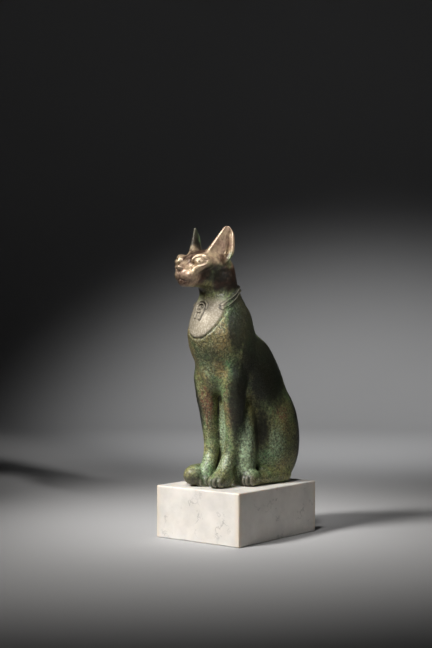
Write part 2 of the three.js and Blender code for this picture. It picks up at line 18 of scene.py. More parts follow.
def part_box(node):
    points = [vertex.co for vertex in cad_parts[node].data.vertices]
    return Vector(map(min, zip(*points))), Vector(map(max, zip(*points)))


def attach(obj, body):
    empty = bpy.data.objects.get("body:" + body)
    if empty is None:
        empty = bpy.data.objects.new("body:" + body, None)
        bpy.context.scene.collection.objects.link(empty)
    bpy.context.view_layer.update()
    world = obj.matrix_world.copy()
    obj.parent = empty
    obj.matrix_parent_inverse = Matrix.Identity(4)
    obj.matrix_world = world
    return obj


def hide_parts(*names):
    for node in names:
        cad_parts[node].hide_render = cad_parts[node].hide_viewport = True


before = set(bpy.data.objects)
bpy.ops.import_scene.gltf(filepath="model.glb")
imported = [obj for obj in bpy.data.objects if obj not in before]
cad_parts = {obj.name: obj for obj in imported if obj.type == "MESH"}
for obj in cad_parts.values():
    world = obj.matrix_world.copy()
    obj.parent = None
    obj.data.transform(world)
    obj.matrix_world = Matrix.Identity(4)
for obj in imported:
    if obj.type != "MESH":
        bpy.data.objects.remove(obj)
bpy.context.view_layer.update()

log = logging.getLogger("cat")

MM = 0.001
Array = np.ndarray
Place = tuple[float, float, float]
Pair = tuple[float, float]
Points = tuple[Array, Array, Array]
Form = Callable[[Points], Array]
Colour = tuple[float, float, float]
Node = bpy.types.Node
Socket = bpy.types.NodeSocket


# Arithmetic of forms


def ease(value: Array) -> Array:
    """Rise from 0 to 1 with level ends."""
    t = np.clip(value, 0, 1)
    return t * t * (3 - 2 * t)


def bump(distance: Array, width: float) -> Array:
    """Round bump of height 1 over a width each side of zero."""
    return ease(1 - np.abs(distance) / width)


def length(*parts: Array) -> Array:
    """Length of a direction from its parts."""
    return np.sqrt(sum(part * part for part in parts))


def join(a: Array, b: Array, reach: float) -> Array:
    """Union of two forms with a fillet.

    Args:
        a: Depth of the first form, negative inside.
        b: Depth of the second form.
        reach: Width of the fillet between them.

    Returns:
        Depth of both together.
    """
    h = np.clip(0.5 + 0.5 * (b - a) / reach, 0, 1)
    return b + (a - b) * h - reach * h * (1 - h)


def meet(a: Array, b: Array, reach: float) -> Array:
    """Common part of two forms with a rounded edge."""
    return -join(-a, -b, reach)


def mirrored(p: Points) -> Points:
    """The same points with both sides brought to the left one."""
    return np.abs(p[0]), p[1], p[2]


def stroke(u: Array, v: Array, line: Sequence[Pair]) -> Array:
    """Flat distance from a line.

    Args:
        u: First flat coordinate of the points.
        v: Second flat coordinate.
        line: Corners of the line.

    Returns:
        Distance of each point from the nearest part of the line.
    """
    nearest = np.full(np.shape(u), 1e3, np.float32)
    for (au, av), (bu, bv) in zip(line, line[1:]):
        du, dv = bu - au, bv - av
        t = np.clip(((u - au) * du + (v - av) * dv) / (du * du + dv * dv), 0, 1)
        nearest = np.minimum(nearest, np.hypot(u - au - t * du, v - av - t * dv))
    return nearest


def fractal(places: Array, size: float, octaves: int) -> Array:
    """Fractal noise at points.

    Args:
        places: Points, one a row, in millimetres.
        size: Size of the coarsest lumps in millimetres.
        octaves: Number of finer and finer layers.

    Returns:
        One number a point, mostly between -1 and 1.
    """
    return np.array([noise.fractal(Vector(p), 1.0, 2.0, octaves) for p in places / size])


class Curve:
    """Smooth curve through stations that never overshoots them."""

    def __init__(self, stations: Sequence[float], values: Sequence[float]) -> None:
        """Work out the slopes at the stations.

        Args:
            stations: Rising places along the curve.
            values: Level at each station.
        """
        self.xs = np.array(stations, float)
        self.ys = np.array(values, float)
        self.gaps = np.diff(self.xs)
        rises = np.diff(self.ys) / self.gaps
        self.slopes = np.zeros_like(self.xs)
        self.slopes[0], self.slopes[-1] = rises[0], rises[-1]
        for i in range(1, len(self.xs) - 1):
            before, after = rises[i - 1], rises[i]
            if before * after > 0:
                near = 2 * self.gaps[i] + self.gaps[i - 1]
                far = self.gaps[i] + 2 * self.gaps[i - 1]
                self.slopes[i] = (near + far) / (near / before + far / after)

    def __call__(self, where: Array) -> Array:
        """Level of the curve, held constant beyond its ends.

        Args:
            where: Places along the curve.

        Returns:
            Level at each place.
        """
        x = np.clip(where, self.xs[0], self.xs[-1])
        i = np.clip(np.searchsorted(self.xs, x) - 1, 0, len(self.xs) - 2)
        gap = self.gaps[i]
        s = (x - self.xs[i]) / gap
        r = 1 - s
        level = self.ys[i] * (1 + 2 * s) * r * r + self.ys[i + 1] * s * s * (3 - 2 * s)
        turn = gap * s * r * (self.slopes[i] * r - self.slopes[i + 1] * s)
        return (level + turn).astype(np.float32)


def loft(rows: Sequence[Sequence[float]]) -> list[Curve]:
    """One curve for each column of a table after its first."""
    columns = list(zip(*rows))
    return [Curve(columns[0], column) for column in columns[1:]]


def section(u: Array, v: Array, half_u: Array, half_v: Array, square: Array) -> Array:
    """Depth in a rounded cross-section.

    Args:
        u: First coordinate from the section's middle.
        v: Second coordinate.
        half_u: Half size along the first.
        half_v: Half size along the second.
        square: 2 for an oval, more for a boxier outline.

    Returns:
        Distance from the outline, negative inside.
    """
    across = (np.abs(u) / half_u) ** square
    share = (across + (np.abs(v) / half_v) ** square) ** (1 / square) + 1e-6
    return length(u, v) * (1 - 1 / share)


@dataclass(frozen=True)
class Egg:
    """Turned ellipsoid; a squareness above 2 makes it boxier."""

    at: Place
    radii: Place
    pitch: float = 0.0
    yaw: float = 0.0
    square: float = 2.0

    def __call__(self, p: Points) -> Array:
        """Depth in the egg.

        Args:
            p: Points in millimetres.

        Returns:
            Depth of each point, negative inside.
        """
        cy, sy = math.cos(math.radians(self.yaw)), math.sin(math.radians(self.yaw))
        cp, sp = math.cos(math.radians(self.pitch)), math.sin(math.radians(self.pitch))
        x0, y0, z0 = (c - a for c, a in zip(p, self.at))
        x, y1 = cy * x0 + sy * y0, cy * y0 - sy * x0
        y, z = cp * y1 + sp * z0, cp * z0 - sp * y1
        rx, ry, rz = self.radii
        if self.square != 2.0:
            parts = (np.abs(x) / rx) ** self.square + (np.abs(y) / ry) ** self.square
            share = (parts + (np.abs(z) / rz) ** self.square) ** (1 / self.square)
            return length(x, y, z) * (1 - 1 / (share + 1e-6))
        far = length(x / rx, y / ry, z / rz)
        slope = length(x / rx**2, y / ry**2, z / rz**2)
        return far * (far - 1) / (slope + 1e-6)


@dataclass(frozen=True)
class Limb:
    """Tapered rod with round ends."""

    start: Place
    end: Place
    start_radius: float
    end_radius: float

    def __call__(self, p: Points) -> Array:
        """Depth in the rod.

        Args:
            p: Points in millimetres.

        Returns:
            Depth of each point, negative inside.
        """
        x, y, z = (c - a for c, a in zip(p, self.start))
        dx, dy, dz = (b - a for a, b in zip(self.start, self.end))
        t = np.clip((x * dx + y * dy + z * dz) / (dx * dx + dy * dy + dz * dz), 0, 1)
        radius = self.start_radius + (self.end_radius - self.start_radius) * t
        return length(x - t * dx, y - t * dy, z - t * dz) - radius


def cluster(forms: Sequence[Form], reach: float) -> Form:
    """Join forms in turn with one fillet.

    Args:
        forms: The forms.
        reach: Width of the fillet.

    Returns:
        All of them as one form.
    """

    def depth(p: Points) -> Array:
        """Depth in the joined forms.

        Args:
            p: Points in millimetres.

        Returns:
            Depth of each point, negative inside.
        """
        total = forms[0](p)
        for form in forms[1:]:
            total = join(total, form(p), reach)
        return total

    return depth


# Parts of the casting


@dataclass(frozen=True)
class Trunk:
    """Haunches, belly, chest and neck in one sweep, with the shoulders."""

    # height, front, back, half width, squareness, drawing in towards the front
    rows: tuple[tuple[float, ...], ...] = (
        (0, 4, 39, 20, 2.8, 0),
        (20, 1, 47.5, 25, 3.0, 0.05),
        (42, -5, 50, 27, 3.0, 0.15),
        (60, -12, 48.5, 27, 2.9, 0.3),
        (74, -24, 45, 26, 2.6, 0.32),
        (88, -37, 39.5, 25, 2.5, 0.22),
        (102, -45.5, 30.3, 24, 2.4, 0.08),
        (108, -48, 24.8, 23.4, 2.3, 0.03),
        (112, -49, 18.3, 22.8, 2.2, 0),
        (116, -49.5, 11, 22.2, 2.2, 0),
        (123, -48.5, 7, 21, 2.1, 0),
        (131, -46, 5.2, 19.6, 2.0, 0),
        (140, -41.5, 0.6, 16.6, 2.0, 0),
        (146, -39, -4.0, 14.8, 2.0, 0),
        (160, -40, -11.5, 14.2, 2.0, 0),
        (176, -44, -17, 13.5, 2.0, 0),
    )
    neck_top: float = 172
    underside: float = -4
    blade: Egg = Egg((12.2, -17, 119), (9.5, 15.5, 19), pitch=-10)
    arm: Egg = Egg((14.0, -18.5, 92), (7.8, 12.5, 24), pitch=-4)
    breast: Egg = Egg((0, -22.5, 95), (13, 17.5, 24))

    def sweep(self, p: Points) -> Array:
        """Depth in the sweep without the shoulders.

        Args:
            p: Points in millimetres.

        Returns:
            Depth of each point, negative inside.
        """
        x, y, z = p
        front, back, wide, square, draw = (curve(z) for curve in loft(self.rows))
        middle, deep = (front + back) / 2, (back - front) / 2
        wide = wide * (1 - draw * ease((middle - y) / deep))
        ends = meet(z - self.neck_top, self.underside - z, 4)
        return meet(section(x, y - middle, wide, deep, square), ends, 8)

    def shoulders(self, p: Points) -> Array:
        """Depth of the blades, upper arms and the breast between them."""
        m = mirrored(p)
        return join(join(self.blade(m), self.arm(m), 7), self.breast(p), 5)


@dataclass(frozen=True)
class Paw:
    """Foot with four toes in a row."""

    foot: Egg
    toes_at: Place
    pitch: float
    set_back: float
    toe: Place
    fillet: float = 0.9

    def __call__(self, p: Points) -> Array:
        """Depth in the paw.

        Args:
            p: Points in millimetres.

        Returns:
            Depth of each point, negative inside.
        """
        x, y, z = self.toes_at
        toes = [
            Egg((x + (i - 1.5) * self.pitch, y + self.set_back * (i % 3 == 0), z), self.toe)
            for i in range(4)
        ]
        return cluster([self.foot, *toes], self.fillet)(p)


def forepaw(x: float, y: float) -> Paw:
    """Forepaw whose middle toes lie at a place.

    Args:
        x: Middle of the paw across the body.
        y: Middle of its inner toes along the body.

    Returns:
        The paw.
    """
    foot = Egg((x, y + 8.8, 6.8), (6.8, 12.0, 6.8), pitch=10)
    return Paw(foot, toes_at=(x, y, 4.5), pitch=3.1, set_back=2.6, toe=(2.1, 4.6, 4.2))


@dataclass(frozen=True)
class Forelegs:
    """Both forelegs and their paws; the right paw is set back behind the tail's tip."""

    # height, side, centre, half width, half depth
    rows: tuple[tuple[float, ...], ...] = (
        (0, 8.6, -30, 5.8, 8.0),
        (10, 8.6, -28, 5.8, 7.2),
        (20, 8.9, -22.8, 5.7, 6.0),
        (27, 9.5, -20.4, 5.6, 5.6),
        (38, 11.0, -18.8, 6.0, 6.2),
        (54, 12.2, -19.5, 7.2, 7.4),
        (68, 12.6, -20.8, 9.0, 9.2),
        (84, 12.2, -22.5, 9.6, 10.4),
    )
    square: float = 2.2
    top: float = 92
    web: Egg = Egg((0, -9.8, 40), (11, 7.2, 44), pitch=4, square=5)
    left_paw: Paw = forepaw(8.6, -39.2)
    right_paw: Paw = forepaw(-8.0, -35.0)

    def __call__(self, p: Points) -> Array:
        """Depth in both forelegs.

        Args:
            p: Points in millimetres.

        Returns:
            Depth of each point, negative inside.
        """
        x, y, z = mirrored(p)
        side, centre, wide, deep = (curve(z) for curve in loft(self.rows))
        leg = section(x - side, y - centre, wide, deep, np.float32(self.square))
        leg = join(meet(leg, z - self.top, 14), self.web(p), 1.5)
        return join(leg, join(self.left_paw(p), self.right_paw(p), 1), 2)


@dataclass(frozen=True)
class Hindlegs:
    """Folded hind legs, told on the left: haunch, knee, foot and paw."""

    haunch: Egg = Egg((14.5, 26, 34), (19, 24.2, 36), pitch=4, square=2.2)
    knee: Egg = Egg((13, -8.3, 29), (10, 10, 37))
    foot: Limb = Limb((25, 27, 5.2), (20, -6, 5.0), 5.6, 5.4)
    paw: Paw = Paw(
        Egg((20.4, -8.5, 5.8), (6.6, 8.8, 6.8)),
        toes_at=(20.6, -14.4, 4.7),
        pitch=2.9,
        set_back=2.2,
        toe=(2.0, 4.2, 4.6),
    )

    def haunches(self, p: Points) -> Array:
        """Depth of both haunches, negative inside."""
        return self.haunch(mirrored(p))

    def __call__(self, p: Points) -> Array:
        """Depth in both hind legs below the haunches.

        Args:
            p: Points in millimetres.

        Returns:
            Depth of each point, negative inside.
        """
        m = mirrored(p)
        leg = join(self.knee(m), self.foot(m), 3)
        return join(leg, self.paw(m), 1.5)


@dataclass(frozen=True)
class Tail:
    """Tail laid round the right flank to the right forepaw."""

    # x, y, z, radius
    rows: tuple[tuple[float, float, float, float], ...] = (
        (0, 42, 14, 9),
        (-20, 40, 8, 7.8),
        (-29.5, 20, 7, 7),
        (-28.5, -4, 7, 6.8),
        (-22.5, -24.5, 7.6, 7.2),
        (-13.6, -37.6, 8.0, 7.5),
    )
    joints: int = 20

    def bend(self, t: float) -> Array:
        """Bend the tail through its rows.

        Args:
            t: Share of the tail's length.

        Returns:
            Place of its middle and its radius there.
        """
        rows = np.array(self.rows, float)
        spans = len(rows) - 1
        i = min(int(t * spans), spans - 1)
        s = t * spans - i
        a, b, c, d = (rows[min(max(i + k, 0), spans)] for k in (-1, 0, 1, 2))
        bow = (2 * a - 5 * b + 4 * c - d) * s * s
        twist = (3 * b - a - 3 * c + d) * s**3
        return 0.5 * (2 * b + (c - a) * s + bow + twist)

    def __call__(self, p: Points) -> Array:
        """Depth in the tail.

        Args:
            p: Points in millimetres.

        Returns:
            Depth of each point, negative inside.
        """
        stops = [self.bend(i / self.joints) for i in range(self.joints + 1)]
        depth = np.full(p[0].shape, 1e3, np.float32)
        for a, b in zip(stops, stops[1:]):
            depth = np.minimum(depth, Limb(tuple(a[:3]), tuple(b[:3]), a[3], b[3])(p))
        return depth


@dataclass(frozen=True)
class Ear:
    """Left ear: a leaf folded along its rear third, open outwards."""

    foot: Place = (18.2, -28.1, 180)
    across: Pair = (0.391, 0.92)
    height: float = 18.6
    front: float = -21
    lean: float = 0.76
    # height, rear edge, thickness of the leaf
    rows: tuple[Place, ...] = (
        (-12, -7.8, 6.0),
        (-9.7, -5.0, 5.8),
        (-5.3, -0.9, 5.2),
        (0, 1.0, 4.4),
        (5.3, 1.3, 3.2),
        (11.6, 0.6, 2.1),
        (14.7, -1.1, 1.6),
        (17.3, -3.4, 1.2),
        (19, -7, 1.0),
    )
    dishing: float = 0.28
    rim: float = 2.2
    crevice: float = 1.3
    crevice_ends: Pair = (-9, 13.5)
    root: float = -11

    def plan(self, p: Points) -> Points:
        """Lay the ear flat.

        Args:
            p: Points in millimetres.

        Returns:
            Places across the leaf, outwards from it and above its foot.
        """
        across, out = self.across
        dx, dy, h = (c - a for c, a in zip(p, self.foot))
        return across * dx + out * dy, out * dx - across * dy, h

    def __call__(self, p: Points) -> Array:
        """Depth in both ears.

        Args:
            p: Points in millimetres.

        Returns:
            Depth of each point, negative inside.
        """
        w, v, h = self.plan(mirrored(p))
        rear, thick = (curve(h) for curve in loft(self.rows))
        front = self.front + self.lean * np.maximum(h, -3)
        share = (w - front) / np.maximum(rear - front, 1.5)
        dish = self.dishing * thick * np.clip(1 - (2 * share - 1) ** 2, -1, 1)
        edge = 0.85 * meet(front - w, w - rear, 3)
        leaf = meet(np.abs(v + dish + thick / 2) - thick / 2, edge, 1.6)
        rim = self.rim * (0.2 + 0.8 * ease((18.5 - h) / 11))
        roll = np.hypot(w - rear + rim, v + 0.5 * rim) - rim
        leaf = join(leaf, roll, 0.8)
        fold = np.abs(w - rear + 2.7 * rim) - self.crevice * (0.5 + 0.5 * ease((13 - h) / 9))
        low, high = self.crevice_ends
        cut = meet(meet(fold, -v - dish - thick + 1.0, 0.8), meet(h - high, low - h, 1), 0.8)
        leaf = meet(leaf, -cut, 0.7)
        return meet(leaf, meet(h - self.height, self.root - h, 1), 2.0)


@dataclass(frozen=True)
class Eye:
    """Left eye: ball, lids, pupil and the brow line round it."""

    centre: Place = (10.4, -59.0, 169.3)
    along: Place = (0.727, 0.656, 0.202)
    out: Place = (0.62, -0.70, 0.36)
    size: Pair = (4.9, 2.7)
    ball: float = 1.2
    lid_ridge: float = 0.5
    lid_line: float = 0.4
    brow_ridge: float = 0.6
    pupil: float = 1.2
    pupil_line: float = 0.45
    lid_line_darkening: float = 0.55
    pupil_darkening: float = 0.9
    brow: tuple[Pair, ...] = (
        (-7.4, -4.0),
        (-6.7, -1.4),
        (-6.0, 1.6),
        (-4.4, 4.2),
        (-1.6, 5.6),
        (1.6, 5.7),
        (4.6, 4.6),
        (7.4, 2.8),
    )

    def plan(self, p: Points) -> tuple[Array, ...]:
        """Lay the eye flat.

        Args:
            p: Points in millimetres.

        Returns:
            Places along and above the eye and over its slit, reach from its middle, and nearness.
        """
        above = np.cross(self.out, self.along)
        above /= np.linalg.norm(above)
        place = [c - a for c, a in zip(p, self.centre)]
        u = sum(c * a for c, a in zip(place, self.along))
        v = sum(c * a for c, a in zip(place, above))
        lid = v - 0.35 + 0.02 * u * np.abs(u)
        half = self.size[1] * np.sqrt(np.clip(1.15 - (u / 6.4) ** 2, 0.05, 1))
        reach = np.hypot(u / self.size[0], lid / half)
        near = ease((12 - np.abs(u)) / 3) * ease((11 - np.abs(v)) / 3) * ease((p[0] - 2.4) / 2)
        return u, v, lid, reach, near

    def height(self, p: Points) -> Array:
        """Height of the eye over the plain head.

        Args:
            p: Points in millimetres.

        Returns:
            Height of each point.
        """
        u, v, lid, reach, near = self.plan(p)
        ball = self.ball * ease((1 - reach) / 0.7)
        ridge = self.lid_ridge * bump((reach - 1.38) * 3.2, 0.9)
        lids = ridge - self.lid_line * bump((reach - 1.06) * 3.2, 0.8)
        lids = lids * (0.3 + 0.7 * ease((lid + 1) / 2))
        brow = self.brow_ridge * bump(stroke(u, v, self.brow), 1.1)
        pupil = self.pupil_line * bump(np.hypot(u + 0.2, lid) - self.pupil, 0.7)
        return near * (ball + ease((6.4 - np.abs(u)) / 1.2) * lids + brow - pupil)

    def lines(self, p: Points) -> Array:
        """Strength of the darkening in the lid line round the ball and in the pupil.

        Args:
            p: Points in millimetres.

        Returns:
            One number a point, from 0 to 1.
        """
        u, _, lid, reach, near = self.plan(p)
        rim = self.lid_line_darkening * bump((reach - 1.08) * 3.2, 0.9) * ease((5.4 - np.abs(u)) / 1.6)
        return near * np.maximum(rim, self.pupil_darkening * bump(np.hypot(u + 0.2, lid), 1.6))


@dataclass(frozen=True)
class Head:
    """Skull, muzzle, brows, eyes, nose and mouth."""

    # distance along Y, top, underside, half width, squareness
    rows: tuple[tuple[float, ...], ...] = (
        (-66, 168.6, 154.5, 5.6, 2.1),
        (-61, 172.2, 152.6, 8.6, 2.1),
        (-55, 175.6, 151.6, 12.8, 2.2),
        (-47, 178.8, 151.4, 15.4, 2.3),
        (-38, 180.2, 150.0, 16.4, 2.3),
        (-28, 178.8, 148.0, 15.4, 2.2),
        (-20, 174.5, 146.0, 12.6, 2.2),
    )
    ends: Pair = (-64, -19.6)
    # distance along Y, height of the cheekbone
    cheekbone: tuple[Pair, ...] = ((-66, 160), (-60, 164), (-54, 168), (-46, 170), (-34, 169))
    jaw_pinch: float = 0.26
    cheek: Egg = Egg((9.8, -56, 167.6), (4.8, 8.5, 3.2), pitch=26, yaw=-28)
    muzzle: Egg = Egg((0, -60.5, 160.3), (7.4, 9.6, 7.8), pitch=-4)
    bridge: Limb = Limb((0, -56, 172.0), (0, -68.4, 166.0), 3.6, 2.1)
    whisker_pad: Egg = Egg((3.2, -64.6, 160.2), (4.0, 5.0, 4.6), yaw=-12)
    chin: Egg = Egg((0, -63.6, 154.6), (4.4, 5.0, 3.0), pitch=6)
    nose: Egg = Egg((0, -69.6, 165.2), (3.1, 2.9, 1.9), pitch=-25)
    socket: Egg = Egg((6.2, -63.6, 168.6), (2.0, 6.0, 2.6), pitch=22, yaw=-30)
    brow: Egg = Egg((9.0, -56.6, 172.4), (3.8, 6.8, 3.6), pitch=12, yaw=-36)
    bridge_side: Limb = Limb((4.6, -56.5, 173.2), (2.9, -67.6, 165.6), 0, 0)
    mouth: float = 156.9
    mouth_line: float = 0.4
    lip_line: float = 0.45
    nostril: Pair = (1.7, 164.6)
    nostril_depth: float = 0.6
    bridge_line: float = 0.3
    eye: Eye = Eye()

    def plain(self, p: Points) -> Array:
        """Depth in the head before its finer carving.

        Args:
            p: Points in millimetres.

        Returns:
            Depth of each point, negative inside.
        """
        x, y, z = m = mirrored(p)
        top, under, wide, square = (curve(y) for curve in loft(self.rows))
        below = loft(self.cheekbone)[0](y) - z
        pinch = 1 - self.jaw_pinch * ease(below / 6) * ease((-y - 26) / 12)
        skull = section(x / pinch, z - (top + under) / 2, wide, (top - under) / 2, square)
        front, back = self.ends
        depth = meet(skull, meet(y - back, front - y, 2), 7)
        added = (
            (self.cheek, 4),
            (self.muzzle, 4),
            (self.bridge, 2.5),
            (self.whisker_pad, 3.0),
            (self.chin, 2.6),
            (self.nose, 1),
        )
        for form, reach in added:
            depth = join(depth, form(m), reach)
        return join(meet(depth, -self.socket(m), 2.5), self.brow(m), 3)

    def carving(self, p: Points) -> Array:
        """Height of the eyes, nostrils, lip and mouth over the plain head.

        Args:
            p: Points in millimetres.

        Returns:
            Height of each point, below zero in a line.
        """
        x, y, z = m = mirrored(p)
        side, height = self.nostril
        front = ease((-62 - y) / 3)
        mouth = self.mouth_line * bump(z - (self.mouth - 0.3 * x), 0.8) * ease((7.0 - x) / 4)
        lip = self.lip_line * bump(x, 0.7) * ease(z - 156.2) * ease(height - z)
        nostril = self.nostril_depth * bump(np.hypot((x - side) / 1.2, z - height), 0.9)
        nostril = nostril * ease(-68.5 - y)
        groove = self.bridge_line * bump(self.bridge_side(m), 1.2)
        return self.eye.height(m) - front * (mouth + lip) - nostril - groove

    def painted_jaw_shade(self, p: Points) -> Array:
        """Strength of the painted shade from the cheekbones down to the throat.

        Args:
            p: Points in millimetres.

        Returns:
            One number a point, from 0 to 1.
        """
        y, z = p[1:]
        below = loft(self.cheekbone)[0](y) - z
        return ease((below + 1) / 5) * ease((y + 62) / 8) * ease((z - 138) / 8)

    def __call__(self, p: Points) -> Array:
        """Depth of points, negative inside."""
        return self.plain(p) - self.carving(p)


@dataclass(frozen=True)
class Collar:
    """Bib, eye pendant and neck cord, raised on the casting."""

    # place along Y behind which there is no bib, and heights between which there is a collar
    breast: float = -26
    bottom: float = 110
    top: float = 158
    bib_width: float = 15.4
    bib_drop: float = 21.2
    bib_top: float = 134
    bib_height: float = 0.5
    edge_groove: float = 0.75
    edge_ridge: float = 0.15
    pendant: Pair = (-0.9, 136.2)
    pendant_height: float = 1.7
    eye_radius: float = 3.2
    iris_radius: float = 2.1
    eye_groove: float = 0.5
    # distance along Y, height
    cord: tuple[Pair, ...] = ((-37, 136.4), (-28.3, 141.6), (-21.7, 145.6), (-16.3, 149.6), (-6, 153))
    cord_spread: float = 1.5
    cord_height: float = 1.8
    knob: float = -36.2
    knob_radius: float = 2.3
    knob_height: float = 1.2
    brow: tuple[Pair, ...] = ((-3.4, 3.8), (-1.0, 5.2), (2.4, 5.0), (5.0, 2.6), (5.4, -0.6))
    drop: tuple[Pair, ...] = ((-2.6, -4.2), (-2.9, -7.4))
    bar: tuple[Pair, ...] = ((3.4, -2.8), (2.0, -8.4))

    def front(self, p: Points) -> Array:
        """Share in which points belong to the breast."""
        return ease((self.breast - p[1]) / 6)

    def rim(self, p: Points) -> Array:
        """Distance outside the bib's lower edge."""
        reach = np.hypot(p[0] / self.bib_width, np.maximum(self.bib_top - p[2], 0) / self.bib_drop)
        return (reach - 1) * self.bib_width

    def amulet(self, p: Points) -> Array:
        """Height of the eye pendant: rim, iris, brow, drop and bar.

        Args:
            p: Points in millimetres.

        Returns:
            Height of each point over the bib.
        """
        u = p[0] - self.pendant[0]
        v = p[2] - self.pendant[1]
        round_eye = np.hypot(u / 1.1, v)
        parts = (
            bump(round_eye - self.eye_radius, 0.9),
            bump(np.hypot(u + 0.6, v), self.iris_radius),
            bump(stroke(u, v, self.brow), 1.25),
            1.1 * bump(stroke(u, v, self.drop), 1.4),
            1.1 * bump(stroke(u, v, self.bar), 1.5),
        )
        groove = self.eye_groove * bump(round_eye - 2.2, 0.7)
        return self.pendant_height * np.max(parts, axis=0) - groove

    def strands(self, p: Points) -> Array:
        """Height of the cord's two strands and of the knob at their front ends.

        Args:
            p: Points in millimetres.

        Returns:
            Height of each point over the neck.
        """
        x, y, z = p
        swing = z - loft(self.cord)[0](y)
        cord = self.cord_height * bump(np.abs(swing) - self.cord_spread, 1.4) * ease((y + 38) / 2)
        knob = bump(np.hypot((y - self.knob) / 1.3, swing + 0.6), self.knob_radius)
        return np.maximum(cord, self.knob_height * knob * (np.abs(x) > 6))

    def height(self, p: Points) -> Array:
        """Height of the collar over the plain breast and neck.

        Args:
            p: Points in millimetres.

        Returns:
            Height of each point, 0 away from the collar.
        """
        z = p[2]
        rim = self.rim(p)
        edge = self.edge_groove * bump(rim, 1.0)
        bib = self.bib_height * ease(-rim / 1.2) - edge + self.edge_ridge * bump(rim - 1.6, 1.3)
        worn = (z > self.bottom) & (z < self.top)
        return worn * (self.front(p) * (bib * ease((147 - z) / 4) + self.amulet(p)) + self.strands(p))

    def bib(self, p: Points) -> Array:
        """Share in which points belong to the bib."""
        share = ease(-self.rim(p) / 1.2) * self.front(p)
        return share * ease((146 - p[2]) / 8) * (p[2] > self.bottom)

    def painted_relief_shade(self, p: Points) -> Array:
        """Strength of the painted shade round the pendant and the cord.

        Args:
            p: Points in millimetres.

        Returns:
            One number a point, from 0 to 1.
        """
        relief = np.maximum(self.amulet(p) * (p[1] < self.breast), self.strands(p))
        relief = relief * (p[2] > self.bottom)
        return ease(relief / 0.25) * (1 - ease((relief - 0.4) / 0.6))


@dataclass(frozen=True)
class Bloom:
    """Soft patch of one patina or of painted shade on the casting, or a pair of them on both sides."""

    at: Place
    radii: Place
    strength: float = 1.0
    paired: bool = False

    def __call__(self, p: Points) -> Array:
        """Strength of the patch.

        Args:
            p: Points in millimetres.

        Returns:
            One number a point.
        """
        p = mirrored(p) if self.paired else p
        far = length(*((c - a) / r for c, a, r in zip(p, self.at, self.radii)))
        return self.strength * ease(1.25 - far)


class Mask(Enum):
    """Values that a mesh carries at its points for its finish."""

    GILT = "gilt"
    # Umber patina, with the painted shade under the cheekbones.
    UMBER = "umber"
    VERDIGRIS = "verdigris"
    CUPRITE = "cuprite"
    OCHRE = "ochre"
    # Dark patina and painted shade.
    SOOT = "soot"
    BIB = "bib"
    # Painted shade round the collar's relief, and the darkening of the eye's lines.
    GROOVE = "groove"
    HOLLOW = "hollow"
    # Nearness to the block's vertical corners, for the painted glow.
    CORNER = "corner"


